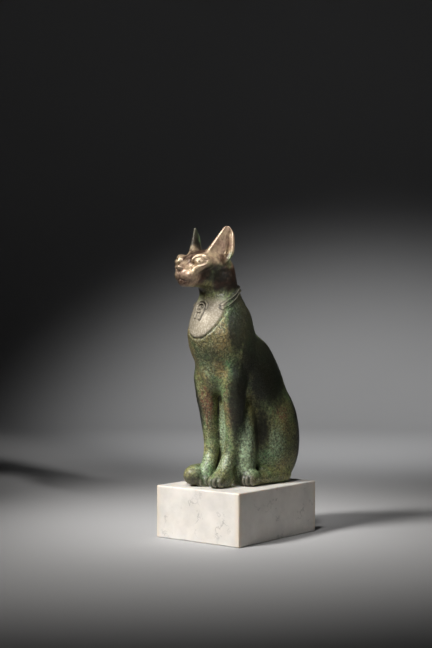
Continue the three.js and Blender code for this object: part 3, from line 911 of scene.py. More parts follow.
@dataclass(frozen=True)
class Patina:
    """Places of the patinas and of the painted shade on the cat; each field feeds the mask of its name.
    """

    gilt: tuple[Bloom, ...] = (
        Bloom((0, -62, 164), (24, 24, 19)),
        Bloom((0, -46, 178), (30, 34, 20)),
        Bloom((16, -32, 196), (20, 24, 26)),
        Bloom((0, -24, 160), (30, 30, 18)),
    )
    umber: tuple[Bloom, ...] = (
        Bloom((0, -52, 180), (12, 15, 8)),
        Bloom((0, -30, 182), (12, 12, 8), 0.8),
        Bloom((3, -62, 173), (4, 9, 6), 0.9, paired=True),
        Bloom((0, -66, 155), (12, 10, 6), 0.7),
        Bloom((0, -26, 154), (24, 22, 14)),
        Bloom((17, -34, 172), (7, 12, 10), 0.9, paired=True),
        Bloom((-15, -36, 184), (9, 14, 12)),
    )
    verdigris: tuple[Bloom, ...] = (
        Bloom((20, -15, 32), (8, 10, 26), 0.9, paired=True),
        Bloom((18, -14, 14), (10, 10, 14), 0.8, paired=True),
        Bloom((8, -28, 18), (12, 10, 10), 0.5, paired=True),
        Bloom((-6, -36, 12), (10, 9, 9), 0.7),
        Bloom((2, -38, 90), (9, 10, 12), 0.4),
        Bloom((32, 8, 30), (9, 14, 22), 0.6, paired=True),
        Bloom((30, 2, 60), (8, 8, 14), 0.5),
        Bloom((0, -32, 183), (12, 10, 6), 0.3),
        Bloom((0, -14, 44), (7, 8, 34), 0.8),
    )
    cuprite: tuple[Bloom, ...] = (
        Bloom((-8, -30, 60), (10, 12, 24)),
        Bloom((14, -28, 62), (8, 10, 34), 0.7),
        Bloom((34, 14, 58), (10, 18, 16), 0.8),
        Bloom((-12, -38, 88), (8, 10, 14), 0.6),
        Bloom((24, -2, 30), (6, 8, 26), 0.5),
    )
    ochre: tuple[Bloom, ...] = (
        Bloom((-14, -42, 108), (12, 14, 34)),
        Bloom((12, -38, 88), (8, 10, 16), 0.9),
        Bloom((-3, -38, 84), (8, 9, 12), 0.7),
        Bloom((4, -50, 112), (18, 10, 9), 0.6),
        Bloom((14, -38, 114), (12, 12, 20)),
    )
    # Dark patina, and painted shade on the turned-away sides of the shoulders, arms, forelegs, flanks
    # and haunches, under the jaw and at the nape, with painted contact shadow under the paws.
    soot: tuple[Bloom, ...] = (
        Bloom((0, -22, 152), (22, 22, 12), 0.8),
        Bloom((14, -42, 160), (8, 22, 9), 0.6, paired=True),
        Bloom((18, -26, 66), (6, 7, 48), 0.8, paired=True),
        Bloom((18, -14, 138), (13, 18, 22), 1.0, paired=True),
        Bloom((21, -27, 122), (7, 12, 24), 0.9, paired=True),
        Bloom((26, -2, 78), (8, 14, 24), 0.9, paired=True),
        Bloom((26, -10, 110), (10, 18, 34), 1.0, paired=True),
        Bloom((28, 10, 92), (15, 30, 36), 1.0, paired=True),
        Bloom((22, -20, 66), (6, 9, 40), 1.0, paired=True),
        Bloom((26, -2, 48), (8, 9, 34), 0.9, paired=True),
        Bloom((8, -44, 98), (12, 10, 14), 0.25),
        Bloom((-13, -40, 193), (10, 14, 18), 0.85),
        Bloom((20, -18, 4), (9, 8, 9), 0.7, paired=True),
        Bloom((-10, -40, 4), (14, 12, 8), 0.5),
        Bloom((10, -40, 3), (10, 12, 7), 0.5),
        Bloom((22, 48, 50), (24, 18, 64), 1.0, paired=True),
    )

    def masks(self, p: Points) -> dict[Mask, Array]:
        """Strength of each patina and of the painted shade at points.

        Args:
            p: Points in millimetres.

        Returns:
            One number a point for each mask.
        """
        places = {Mask(field.name): getattr(self, field.name) for field in fields(self)}
        return {mask: np.max([bloom(p) for bloom in patches], 0) for mask, patches in places.items()}


@dataclass(frozen=True)
class Lattice:
    """Lattice round the cat, drawn in and made finer towards the head."""

    across: int = 84
    along: int = 120
    block: int = 4
    # height, spacing, middle along Y
    rows: tuple[Place, ...] = ((84, 1.1, 3), (100, 0.97, -8), (116, 0.76, -20), (150, 0.545, -41.5))
    bottom: float = -1.7
    top: float = 201.5
    margin: float = 2.2

    def levels(self) -> Array:
        """Work out the heights of the lattice's layers.

        Returns:
            Rising heights in millimetres.
        """
        spacing = loft(self.rows)[0]
        levels = [self.bottom]
        while levels[-1] < self.top:
            levels.append(levels[-1] + float(spacing(levels[-1])))
        return np.array(levels, np.float32)

    def sample(self, form: Form) -> tuple[Array, Callable[[Array, Array, Array], Points]]:
        """Depth of a form at the lattice's points, exact only near its skin.

        Args:
            form: Depth of points, negative inside.

        Returns:
            Depths by index, and the function from indices to places.
        """
        levels = self.levels()
        spacing, middle = (curve(levels) for curve in loft(self.rows))

        def places(i: Array, j: Array, k: Array) -> Points:
            """Places of lattice points.

            Args:
                i: Their numbers across the cat.
                j: Along it.
                k: And up.

            Returns:
                Their places in millimetres.
            """
            step = spacing[k]
            x = (i - self.across / 2 + 0.5) * step
            y = middle[k] + (j - self.along / 2) * step
            return x.astype(np.float32), y.astype(np.float32), levels[k]

        size = (self.across, self.along, len(levels))
        coarse = [np.arange(0, n, self.block) for n in size]
        i, j, k = np.meshgrid(*coarse, indexing="ij")
        rough = form(places(i.ravel(), j.ravel(), k.ravel())).reshape(i.shape)
        for axis, n in enumerate(size):
            rough = np.repeat(rough, self.block, axis).take(np.arange(n), axis)
        depth = rough.astype(np.float32)
        near = np.nonzero(np.abs(depth) < self.margin * self.block * spacing)
        depth[near] = form(places(*near))
        return depth, places


def close_corners(depth: Array) -> None:
    """Fill lattice points where parts of a form would touch only along an edge.

    Args:
        depth: Depths at the lattice's points, changed in place.
    """
    while True:
        found = 0
        for axis in range(3):
            ring = []
            for u, v in ((0, 0), (1, 0), (1, 1), (0, 1)):
                part = [slice(None)] * 3
                part[axis] = slice(u, u - 1 or None)
                part[(axis + 1) % 3] = slice(v, v - 1 or None)
                ring.append(tuple(part))
            a, b, c, d = ring
            inside = depth < 0
            crossed = (inside[a] == inside[c]) & (inside[b] == inside[d]) & (inside[a] != inside[b])
            for part in ring:
                patch = depth[part]
                patch[crossed & ~inside[part]] = -0.05
            found += int(crossed.sum())
        if not found:
            return


def cell_points(depth: Array, places: Callable, cells: tuple[Array, ...]) -> Array:
    """Mean of the places at which a form cuts the edges of each cell.

    Args:
        depth: Depth of the form at the lattice's points.
        places: Function from indices to places.
        cells: Indices of the cells that the form crosses.

    Returns:
        Points in millimetres, one a cell.
    """
    total = np.zeros((3, len(cells[0])))
    cuts = np.zeros(len(cells[0]))
    for corner in range(8):
        offset = [corner & 1, corner >> 1 & 1, corner >> 2]
        for axis in range(3):
            if offset[axis]:
                continue
            start = [c + o for c, o in zip(cells, offset)]
            end = [c + (n == axis) for n, c in enumerate(start)]
            d0, d1 = depth[tuple(start)], depth[tuple(end)]
            cut = (d0 < 0) != (d1 < 0)
            t = np.where(cut, d0 / np.where(cut, d0 - d1, 1), 0)
            for n, (p0, p1) in enumerate(zip(places(*start), places(*end))):
                total[n] += cut * (p0 + t * (p1 - p0))
            cuts += cut
    return (total / cuts).T


def cut_faces(inside: Array, index: Array) -> Array:
    """Face across each edge of the lattice that a form cuts.

    Args:
        inside: Whether each point of the lattice lies in the form.
        index: Number of the point in each cell.

    Returns:
        Faces of four corners, seen from outside.
    """
    faces = []
    for axis in range(3):
        u, v = (axis + 1) % 3, (axis + 2) % 3
        low = [slice(1, -1)] * 3
        high = [slice(1, -1)] * 3
        low[axis], high[axis] = slice(0, -1), slice(1, None)
        here = inside[tuple(low)]
        at = np.argwhere(here != inside[tuple(high)])
        rising = here[tuple(at.T)]
        at[:, [u, v]] += 1
        ring = []
        for du, dv in ((1, 1), (0, 1), (0, 0), (1, 0)):
            cell = at.copy()
            cell[:, u] -= du
            cell[:, v] -= dv
            ring.append(index[tuple(cell.T)])
        quads = np.stack(ring, 1)
        quads[~rising] = quads[~rising][:, ::-1]
        faces.append(quads)
    return np.concatenate(faces)


def skin(form: Form, lattice: Lattice) -> tuple[Array, Array]:
    """Closed skin of a form: one point in each cell it crosses, one face across each edge it cuts.

    Args:
        form: Depth of points, negative inside.
        lattice: Lattice to look at it on.

    Returns:
        Points in millimetres, and faces of four corners.
    """
    depth, places = lattice.sample(form)
    close_corners(depth)
    inside = depth < 0
    corners = [(n & 1, n >> 1 & 1, n >> 2) for n in range(8)]
    shifted = [inside[tuple(slice(o, o - 1 or None) for o in corner)] for corner in corners]
    count = sum(part.astype(np.int8) for part in shifted)
    cells = np.nonzero((count > 0) & (count < 8))
    index = np.full(count.shape, -1, np.int64)
    index[cells] = np.arange(len(cells[0]))
    return cell_points(depth, places, cells), cut_faces(inside, index)


def slope(form: Form, points: Array, step: float = 0.12) -> Array:
    """Direction and rate in which a form's depth grows.

    Args:
        form: Depth of points, negative inside.
        points: Points, one a row.
        step: Distance over which it is felt.

    Returns:
        One direction a point, longer where the depth grows faster.
    """
    sides = []
    for axis in range(3):
        ends = []
        for way in (step, -step):
            moved = points.copy()
            moved[:, axis] += way
            ends.append(form(tuple(moved.T.astype(np.float32))))
        sides.append((ends[0] - ends[1]) / (2 * step))
    return np.stack(sides, 1)


def hollows(points: Array, faces: Array, normals: Array, rounds: int) -> Array:
    """How far each point lies below its neighbours.

    Args:
        points: Points of a mesh.
        faces: Its faces of four corners.
        normals: Outward directions at the points.
        rounds: Times the result is evened out with its neighbours.

    Returns:
        One number a point, above zero in a hollow and below on a ridge.
    """
    count = len(points)
    a = faces.ravel()
    b = np.roll(faces, -1, 1).ravel()
    ends = np.concatenate([a, b])
    others = np.concatenate([b, a])
    near = np.bincount(ends, minlength=count)

    def around(values: Array) -> Array:
        """Mean of a value over each point's neighbours."""
        return np.bincount(ends, values[others], count) / near

    middle = np.stack([around(points[:, n]) for n in range(3)], 1) - points
    depth = (middle * normals).sum(1)
    for _ in range(rounds):
        depth = 0.5 * depth + 0.5 * around(depth)
    return depth


def make_mesh(name: str, points: Array, faces: Array) -> bpy.types.Object:
    """Smooth mesh object from points in millimetres.

    Args:
        name: Name of the object and its mesh.
        points: Points, one a row.
        faces: Corners of the faces, one face a row.

    Returns:
        The object, linked to the scene.
    """
    mesh = bpy.data.meshes.new(name)
    mesh.from_pydata(points * MM, [], faces)
    mesh.shade_smooth()
    mesh.update()
    made = bpy.data.objects.new(name, mesh)
    bpy.context.scene.collection.objects.link(made)
    return made


def carry(piece: bpy.types.Object, mask: Mask, values: Array) -> None:
    """Let a piece's mesh carry a value at each point for its finish."""
    layer = piece.data.attributes.new(mask.value, "FLOAT", "POINT")
    layer.data.foreach_set("value", np.ascontiguousarray(values, np.float32))


def room(node: str) -> tuple[Array, Array]:
    """Lowest and highest corner of a CAD node in millimetres."""
    low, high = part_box(node)
    return np.array(low) / MM, np.array(high) / MM


@dataclass(frozen=True)
class Casting:
    """The whole cat in one piece of bronze."""

    trunk: Trunk = Trunk()
    forelegs: Forelegs = Forelegs()
    hindlegs: Hindlegs = Hindlegs()
    tail: Tail = Tail()
    ear: Ear = Ear()
    head: Head = Head()
    collar: Collar = Collar()
    patina: Patina = Patina()
    lattice: Lattice = Lattice()
    pit_size: float = 2.6
    pit_depth: float = 0.22
    lump_size: float = 11
    lump_height: float = 0.18
    smoothing: float = 0.85

    def depth(self, p: Points) -> Array:
        """Depth in the casting.

        Args:
            p: Points in millimetres.

        Returns:
            Depth of each point, negative inside.
        """
        depth = join(self.trunk.sweep(p), self.head(p), 6)
        depth = join(depth, self.trunk.shoulders(p), 5) - self.collar.height(p)
        added = (
            (self.hindlegs.haunches, 9),
            (self.hindlegs, 6),
            (self.forelegs, 4),
            (self.tail, 1.2),
            (self.ear, 2.5),
        )
        for form, fillet in added:
            depth = join(depth, form(p), fillet)
        return meet(depth, -p[2], 0.8)

    def settle(self, points: Array) -> tuple[Array, Array]:
        """Draw points onto the casting.

        Args:
            points: Points close to it, one a row.

        Returns:
            The points on it, and the outward direction at each.
        """
        reach = 0.4 * loft(self.lattice.rows)[0](points[:, 2])
        for _ in range(2):
            grow = slope(self.depth, points)
            steep = (grow**2).sum(1) + 1e-6
            depth = self.depth(tuple(points.T.astype(np.float32)))
            shift = np.clip(depth / np.sqrt(steep), -reach, reach)
            points = points - (shift / np.sqrt(steep))[:, None] * grow * (points[:, 2:] > 1)
        return points, grow / np.sqrt(steep)[:, None]

    def masks(self, p: Points) -> dict[Mask, Array]:
        """Strength of each patina and painted shade, of the bib, and of the painted shade and darkening
        along the carved lines at points.

        Args:
            p: Points in millimetres.

        Returns:
            One number a point for each mask.
        """
        found = self.patina.masks(p)
        # The umber mask also takes the painted shade under the cheekbones.
        found[Mask.UMBER] = np.maximum(found[Mask.UMBER], self.head.painted_jaw_shade(p))
        found[Mask.BIB] = self.collar.bib(p)
        # Painted shade round the pendant and the cord, with the darkening of the eye's lines.
        found[Mask.GROOVE] = np.maximum(self.collar.painted_relief_shade(p), self.head.eye.lines(mirrored(p)))
        return found

    def relief(self, points: Array, masks: dict[Mask, Array]) -> Array:
        """Height of the patina's lumps and pits, plainer where it is rubbed.

        Args:
            points: Points on the casting, one a row.
            masks: Strength of each patina at them.

        Returns:
            Height in millimetres at each point.
        """
        rough = 1 - self.smoothing * np.maximum(masks[Mask.GILT], masks[Mask.BIB])
        pits = ease((fractal(points, self.pit_size, 3) - 0.15) / 0.5)
        lumps = fractal(points, self.lump_size, 2)
        return -self.pit_depth * rough * pits + self.lump_height * lumps * rough

    def build(self) -> bpy.types.Object:
        """Make the mesh, with its masks, in the room of its CAD node.

        Returns:
            The cat's object.
        """
        points, faces = skin(self.depth, self.lattice)
        points, normals = self.settle(points)
        masks = self.masks(tuple(points.T))
        masks[Mask.HOLLOW] = hollows(points, faces, normals, 1)
        points += normals * self.relief(points, masks)[:, None] * ease(points[:, 2:] / 3)
        low, high = room("bronze_cat")
        least, most = points.min(0), points.max(0)
        points = low + (points - least) * (high - low) / (most - least)
        cat = make_mesh("bronze_casting", points, faces)
        for mask, values in masks.items():
            carry(cat, mask, values)
        return cat


@dataclass(frozen=True)
class MarbleBlock:
    """Block of white marble with softened, slightly worn edges."""

    softness: float = 1.1
    chip_size: float = 7
    chip_depth: float = 0.5
    wave_size: float = 30
    wave_depth: float = 0.04
    corner: float = 5
    fine: float = 0.3
    coarse: float = 2.6

    def stations(self, low: float, high: float) -> Array:
        """Places of the grid lines along one side, close together at its ends.

        Args:
            low: Where the side begins.
            high: Where it ends.

        Returns:
            Rising places from end to end.
        """
        edge = np.arange(0, 1.8 * self.softness, self.fine)
        count = max(2, round((high - low - 2 * edge[-1]) / self.coarse))
        inner = np.linspace(low + edge[-1], high - edge[-1], count + 1)[1:-1]
        return np.concatenate([low + edge, inner, (high - edge)[::-1]])

    def faces(self, sizes: Sequence[int]) -> Array:
        """Faces of a box of grid lines.

        Args:
            sizes: Number of grid lines along each axis.

        Returns:
            Corners of each face, as numbers that count along X, then Y, then Z.
        """
        rows = []
        for axis in range(3):
            u, v = (axis + 1) % 3, (axis + 2) % 3
            spans = np.arange(sizes[u] - 1), np.arange(sizes[v] - 1)
            i, j = (n.ravel() for n in np.meshgrid(*spans, indexing="ij"))
            for level in (0, sizes[axis] - 1):
                ring = []
                for du, dv in ((0, 0), (1, 0), (1, 1), (0, 1)):
                    at = [None, None, None]
                    at[axis], at[u], at[v] = np.full_like(i, level), i + du, j + dv
                    ring.append(at[0] + sizes[0] * (at[1] + sizes[1] * at[2]))
                quads = np.stack(ring, 1)
                rows.append(quads if level else quads[:, ::-1])
        return np.concatenate(rows)

    def build(self) -> bpy.types.Object:
        """Make the block in the room of its CAD node.

        Returns:
            The block's object.
        """
        low, high = room("marble_plinth")
        lines = [self.stations(a, b) for a, b in zip(low, high)]
        sizes = [len(line) for line in lines]
        used, faces = np.unique(self.faces(sizes), return_inverse=True)
        index = (used % sizes[0], used // sizes[0] % sizes[1], used // (sizes[0] * sizes[1]))
        points = np.stack([line[n] for line, n in zip(lines, index)], 1)
        core = np.clip(points, low + self.softness, high - self.softness)
        out = points - core
        far = np.linalg.norm(out, axis=1)
        out /= far[:, None]
        edge = ease((far / self.softness - 1) / 0.3)
        chips = self.chip_depth * edge * ease((fractal(points, self.chip_size, 4) - 0.1) / 0.5)
        waves = self.wave_depth * ease(fractal(points, self.wave_size, 2))
        points = core + out * (self.softness - waves - chips)[:, None]
        block = make_mesh("marble_block", points, faces.reshape(-1, 4))
        # Nearness to the vertical corners, where the painted glow lies.
        inward = np.minimum(points - low, high - points)[:, :2].max(1)
        carry(block, Mask.CORNER, ease((self.corner - inward) / self.corner))
        return block


# Finishes


class Sheet:
    """Node tree being filled in."""

    def __init__(self, tree: bpy.types.NodeTree) -> None:
        """Keep the tree."""
        self.tree = tree

    def add(self, kind: str, inputs: dict | None = None, **settings: object) -> Node:
        """Add a node.

        Args:
            kind: Its type without the word ShaderNode.
            inputs: Values or sockets for its inputs, by name or number.
            settings: The node's own properties.

        Returns:
            The node.
        """
        node = self.tree.nodes.new(f"ShaderNode{kind}")
        for name, value in settings.items():
            setattr(node, name, value)
        for name, value in (inputs or {}).items():
            self.feed(node.inputs[name], value)
        return node

    def feed(self, socket: Socket, value: object) -> None:
        """Link a socket to an input, or set its value.

        Args:
            socket: The input.
            value: A socket, a number, a colour or a direction.
        """
        if isinstance(value, Socket):
            self.tree.links.new(value, socket)
        elif isinstance(value, tuple) and len(value) == 3 and socket.type == "RGBA":
            socket.default_value = (*value, 1)
        else:
            socket.default_value = value

    def reckon(self, operation: str, *values: object) -> Socket:
        """Result of one arithmetic operation."""
        return self.add("Math", dict(enumerate(values)), operation=operation).outputs[0]

    def plus(self, a: object, b: object) -> Socket:
        """Sum of two values."""
        return self.reckon("ADD", a, b)

    def minus(self, a: object, b: object) -> Socket:
        """Difference of two values."""
        return self.reckon("SUBTRACT", a, b)

    def times(self, a: object, b: object) -> Socket:
        """Product of two values."""
        return self.reckon("MULTIPLY", a, b)

    def between(self, value: Socket, low: object, high: object) -> Socket:
        """Soft step of a value from one level to another."""
        inputs = {"Value": value, "From Min": low, "From Max": high}
        return self.add("MapRange", inputs, interpolation_type="SMOOTHSTEP").outputs[0]

    def blend(self, share: Socket, a: object, b: object) -> Socket:
        """Colour between two others."""
        return self.add("Mix", {0: share, 6: a, 7: b}, data_type="RGBA").outputs[2]

    def mask(self, mask: Mask) -> Socket:
        """Value that the mesh carries at its points."""
        return self.add("Attribute", attribute_name=mask.value).outputs["Fac"]

    def raise_by(self, shader: Node, height: Socket, depth: float, strength: float) -> None:
        """Feed a shader's normal with a fine relief.

        Args:
            shader: The Principled shader.
            height: Height of the relief, as a share of its depth.
            depth: Depth of the relief in millimetres.
            strength: Strength of its shading.
        """
        inputs = {"Height": height, "Distance": depth * MM, "Strength": strength}
        self.feed(shader.inputs["Normal"], self.add("Bump", inputs).outputs[0])

    def millimetres(self) -> Socket:
        """Place on the piece in millimetres."""
        place = self.add("TexCoord").outputs["Object"]
        return self.add("VectorMath", {0: place, "Scale": 1 / MM}, operation="SCALE").outputs[0]


class Effect:
    """Shader node group with named inputs and outputs, built once."""

    name: str = ""
    inputs: dict[str, float | None] = {}
    outputs: tuple[str, ...] = ()

    @classmethod
    def group(cls) -> bpy.types.NodeTree:
        """Make the group at its first use.

        Returns:
            The group.
        """
        tree = bpy.data.node_groups.get(cls.name)
        if tree is None:
            tree = bpy.data.node_groups.new(cls.name, "ShaderNodeTree")
            for name, value in cls.inputs.items():
                kind = "NodeSocketVector" if value is None else "NodeSocketFloat"
                socket = tree.interface.new_socket(name, in_out="INPUT", socket_type=kind)
                if value is not None:
                    socket.default_value = value
            for name in cls.outputs:
                tree.interface.new_socket(name, in_out="OUTPUT", socket_type="NodeSocketFloat")
            cls.fill(Sheet(tree), tree.nodes.new("NodeGroupInput"), tree.nodes.new("NodeGroupOutput"))
        return tree

    @classmethod
    def fill(cls, sheet: Sheet, given: Node, result: Node) -> None:
        """Draw the effect.

        Args:
            sheet: The group's nodes.
            given: Node of its inputs.
            result: Node of its outputs.
        """
        raise NotImplementedError

    @classmethod
    def place(cls, sheet: Sheet, **values: object) -> Node:
        """Put the effect into a material.

        Args:
            sheet: The material's nodes.
            values: Values or sockets for the effect's inputs, by name.

        Returns:
            Its node.
        """
        node = sheet.tree.nodes.new("ShaderNodeGroup")
        node.node_tree = cls.group()
        for name, value in values.items():
            sheet.feed(node.inputs[name], value)
        return node


class Mottle(Effect):
    """Cloudy patches with a soft or hard border."""

    name = "mottle"
    inputs = {"Vector": None, "Size": 10.0, "Cover": 0.5, "Softness": 0.12, "Shift": 0.0}
    outputs = ("Mask",)

    @classmethod
    def fill(cls, sheet: Sheet, given: Node, result: Node) -> None:
        """Draw noise of a size, cut at the level that gives the cover.

        Args:
            sheet: The group's nodes.
            given: Node of its inputs.
            result: Node of its outputs.
        """
        g = given.outputs
        moved = sheet.add("VectorMath", {0: g["Vector"], 1: g["Shift"]}, operation="ADD").outputs[0]
        scale = sheet.reckon("DIVIDE", 1.0, g["Size"])
        inputs = {"Vector": moved, "Scale": scale, "Detail": 4.0, "Roughness": 0.58}
        cloud = sheet.add("TexNoise", inputs).outputs[0]
        level = sheet.plus(sheet.times(sheet.minus(1.0, g["Cover"]), 0.5), 0.25)
        low, high = sheet.minus(level, g["Softness"]), sheet.plus(level, g["Softness"])
        sheet.feed(result.inputs["Mask"], sheet.between(cloud, low, high))


class Granules(Effect):
    """Close grains with pits between them."""

    name = "granules"
    inputs = {"Vector": None, "Size": 1.0, "Pitting": 0.5}
    outputs = ("Height", "Pits")

    @classmethod
    def fill(cls, sheet: Sheet, given: Node, result: Node) -> None:
        """Draw cells of a size and open the weakest of them into pits.

        Args:
            sheet: The group's nodes.
            given: Node of its inputs.
            result: Node of its outputs.
        """
        g = given.outputs
        scale = sheet.reckon("DIVIDE", 1.0, g["Size"])
        inputs = {"Vector": g["Vector"], "Scale": scale}
        cells = sheet.add("TexVoronoi", inputs, feature="SMOOTH_F1").outputs["Distance"]
        cloud = sheet.add("TexNoise", {**inputs, "Detail": 3.0}).outputs[0]
        level = sheet.plus(sheet.times(g["Pitting"], 0.4), 0.28)
        pits = sheet.between(cloud, level, sheet.minus(level, 0.1))
        grain = sheet.times(sheet.minus(1.0, cells), 0.6)
        height = sheet.plus(sheet.minus(grain, sheet.times(pits, 0.8)), sheet.times(cloud, 0.8))
        sheet.feed(result.inputs["Height"], height)
        sheet.feed(result.inputs["Pits"], pits)

    @classmethod
    def grain(cls, sheet: Sheet, where: Socket, size: float, pitting: float) -> dict[str, Socket]:
        """Put the grains into a material.

        Args:
            sheet: The material's nodes.
            where: Place on the piece in millimetres.
            size: Size of a grain in millimetres.
            pitting: Share that is pitted.

        Returns:
            The outputs by name.
        """
        return dict(cls.place(sheet, Vector=where, Size=size, Pitting=pitting).outputs.items())


@dataclass(frozen=True)
class Patches:
    """Patches of one size.

    Where a place is given, they lie in that mask of the mesh and only make its border ragged.
    """

    size: float
    cover: float = 0.5
    softness: float = 0.2
    shift: float = 0.0
    strength: float = 1.0
    place: Mask | None = None
    ragged: float = 0.6
    border: Pair = (0.0, 1.0)

    def draw(self, sheet: Sheet, where: Socket) -> Socket:
        """Draw the patches in a material.

        Args:
            sheet: The material's nodes.
            where: Place on the piece in millimetres.

        Returns:
            Their mask.
        """
        values = {"Size": self.size, "Cover": self.cover, "Softness": self.softness, "Shift": self.shift}
        mask = Mottle.place(sheet, Vector=where, **values).outputs["Mask"]
        if self.place is not None:
            mask = sheet.plus(sheet.mask(self.place), sheet.times(mask, self.ragged))
            mask = sheet.between(mask, *self.border)
        return mask if self.strength == 1.0 else sheet.times(mask, self.strength)


def new_material(name: str) -> tuple[bpy.types.Material, Sheet, Node]:
    """Empty material.

    Args:
        name: Its name.

    Returns:
        The material, its node sheet and its Principled shader.
    """
    material = bpy.data.materials.new(name)
    material.use_nodes = True
    shader = next(node for node in material.node_tree.nodes if node.type == "BSDF_PRINCIPLED")
    return material, Sheet(material.node_tree), shader


class Pigment(Enum):
    """Colours of the bronze and its patinas."""

    DARK = (0.026, 0.030, 0.018)
    OLIVE = (0.520, 0.450, 0.150)
    GREEN = (0.170, 0.380, 0.160)
    BROWN = (0.320, 0.155, 0.065)
    FLECK = (0.56, 0.56, 0.33)
    VERDIGRIS = (0.52, 0.70, 0.45)
    CUPRITE = (0.38, 0.135, 0.085)
    OCHRE = (0.48, 0.35, 0.14)
    GOLD = (0.58, 0.45, 0.28)
    BLUSH = (0.42, 0.28, 0.20)
    UMBER = (0.062, 0.030, 0.019)
    STRAW = (0.30, 0.26, 0.19)
    PALE = (0.46, 0.41, 0.32)
    # Dark patina; also the colour of the painted shade.
    SOOT = (0.014, 0.015, 0.012)


@dataclass(frozen=True)
class PatinatedBronze:
    """Old bronze: mottled green and brown body, rubbed golden head and collar."""

    # pigment, and the patches in which it lies over those before it
    body: tuple[tuple[Pigment, Patches], ...] = (
        (Pigment.GREEN, Patches(24)),
        (Pigment.GREEN, Patches(4.5, softness=0.25, shift=27, strength=0.4)),
        (Pigment.BROWN, Patches(18, cover=0.4, softness=0.18, shift=21, strength=0.5)),
        (Pigment.OCHRE, Patches(3.4, shift=51, place=Mask.OCHRE, border=(0.4, 1.4))),
        (Pigment.CUPRITE, Patches(2.6, shift=47, place=Mask.CUPRITE, border=(0.6, 1.5))),
        (Pigment.DARK, Patches(26, shift=71, strength=0.55)),
        (Pigment.VERDIGRIS, Patches(1.6, shift=31, place=Mask.VERDIGRIS, border=(0.4, 1.3))),
        (Pigment.DARK, Patches(6, cover=0.4, shift=63, strength=0.3)),
        (Pigment.DARK, Patches(1.6, softness=0.13, shift=9, strength=0.74)),
        (Pigment.FLECK, Patches(1.2, cover=0.36, softness=0.08, shift=5, strength=0.4)),
    )
    metal: tuple[tuple[Pigment, Patches], ...] = (
        (Pigment.BLUSH, Patches(9, shift=13)),
        (Pigment.UMBER, Patches(2.2, cover=0.46, shift=17, strength=0.5)),
        # The umber mask here holds the painted shade under the cheekbones as well.
        (Pigment.UMBER, Patches(3, shift=33, place=Mask.UMBER, ragged=-0.5, border=(-0.1, 0.75))),
    )
    dust: tuple[tuple[Pigment, Patches], ...] = (
        (Pigment.PALE, Patches(1.3, cover=0.4, softness=0.08, shift=19)),
    )
    rubbed: Patches = Patches(6, shift=3, place=Mask.GILT, ragged=0.25, border=(0.35, 0.8))
    # Patches of dark patina and of painted shade.
    dark_patina_and_shade_patches: Patches = Patches(3, shift=87, strength=0.9, place=Mask.SOOT, ragged=0.25, border=(0.0, 0.75))
    # heights in millimetres between which a ridge or a groove gets its colour
    ridge: Pair = (-0.03, -0.14)
    groove: Pair = (0.05, 0.2)
    ridge_share: float = 0.25
    groove_share: float = 0.8
    head_metal: float = 0.5
    bib_metal: float = 0.1
    roughness: float = 0.4
    bib_roughness: float = 0.12
    pit_roughness: float = 0.15
    coat: float = 0.05
    head_coat: float = 0.45
    coat_roughness: float = 0.3
    # size in millimetres, and share that is pitted
    fine_grain: Pair = (0.85, 0.4)
    coarse_grain: Pair = (2.1, 0.35)
    coarse_share: float = 1.6
    rubbing: float = 0.75
    relief: float = 0.12

    def colour(self, sheet: Sheet, place: Socket, gilt: Socket, bib: Socket) -> Socket:
        """Draw the colour.

        Args:
            sheet: The material's nodes.
            place: Place on the piece in millimetres.
            gilt: Mask of the rubbed head.
            bib: Mask of the collar's bib.

        Returns:
            The colour.
        """

        def lay(base: Pigment, layers: Sequence[tuple[Pigment, Patches]]) -> Socket:
            """Lay pigments over one another.

            Args:
                base: The lowest one.
                layers: The others, each with its patches.

            Returns:
                Colour of all.
            """
            colour = base.value
            for pigment, patches in layers:
                colour = sheet.blend(patches.draw(sheet, place), colour, pigment.value)
            return colour

        colour = sheet.blend(gilt, lay(Pigment.OLIVE, self.body), lay(Pigment.GOLD, self.metal))
        # Dark patina and painted shade where their mask lies.
        colour = sheet.blend(self.dark_patina_and_shade_patches.draw(sheet, place), colour, Pigment.SOOT.value)
        colour = sheet.blend(bib, colour, lay(Pigment.STRAW, self.dust))
        hollow = sheet.mask(Mask.HOLLOW)
        ridge = sheet.times(sheet.between(hollow, *self.ridge), self.ridge_share)
        colour = sheet.blend(ridge, colour, Pigment.PALE.value)
        # Hollows take the dark colour, as do the painted shade round the collar's relief and the
        # darkening of the eye's lines.
        groove = sheet.between(hollow, *self.groove)
        groove = sheet.reckon("MAXIMUM", groove, sheet.mask(Mask.GROOVE))
        return sheet.blend(sheet.times(groove, self.groove_share), colour, Pigment.SOOT.value)

    def material(self) -> bpy.types.Material:
        """Make the material.

        Returns:
            The bronze's material.
        """
        material, sheet, shader = new_material("patinated_bronze")
        place = sheet.millimetres()
        gilt = self.rubbed.draw(sheet, place)
        bib = sheet.mask(Mask.BIB)
        fine = Granules.grain(sheet, place, *self.fine_grain)
        coarse = Granules.grain(sheet, place, *self.coarse_grain)
        sheet.feed(shader.inputs["Base Color"], self.colour(sheet, place, gilt, bib))
        metallic = sheet.plus(sheet.times(gilt, self.head_metal), sheet.times(bib, self.bib_metal))
        sheet.feed(shader.inputs["Metallic"], metallic)
        rough = sheet.plus(self.roughness, sheet.times(bib, self.bib_roughness))
        rough = sheet.plus(rough, sheet.times(fine["Pits"], self.pit_roughness))
        sheet.feed(shader.inputs["Roughness"], rough)
        coat = sheet.plus(sheet.times(gilt, self.head_coat), self.coat)
        sheet.feed(shader.inputs["Coat Weight"], coat)
        shader.inputs["Coat Roughness"].default_value = self.coat_roughness
        height = sheet.plus(fine["Height"], sheet.times(coarse["Height"], self.coarse_share))
        smooth = sheet.minus(1.0, sheet.times(sheet.reckon("MAXIMUM", gilt, bib), self.rubbing))
        sheet.raise_by(shader, sheet.times(height, smooth), self.relief, 1.0)
        return material


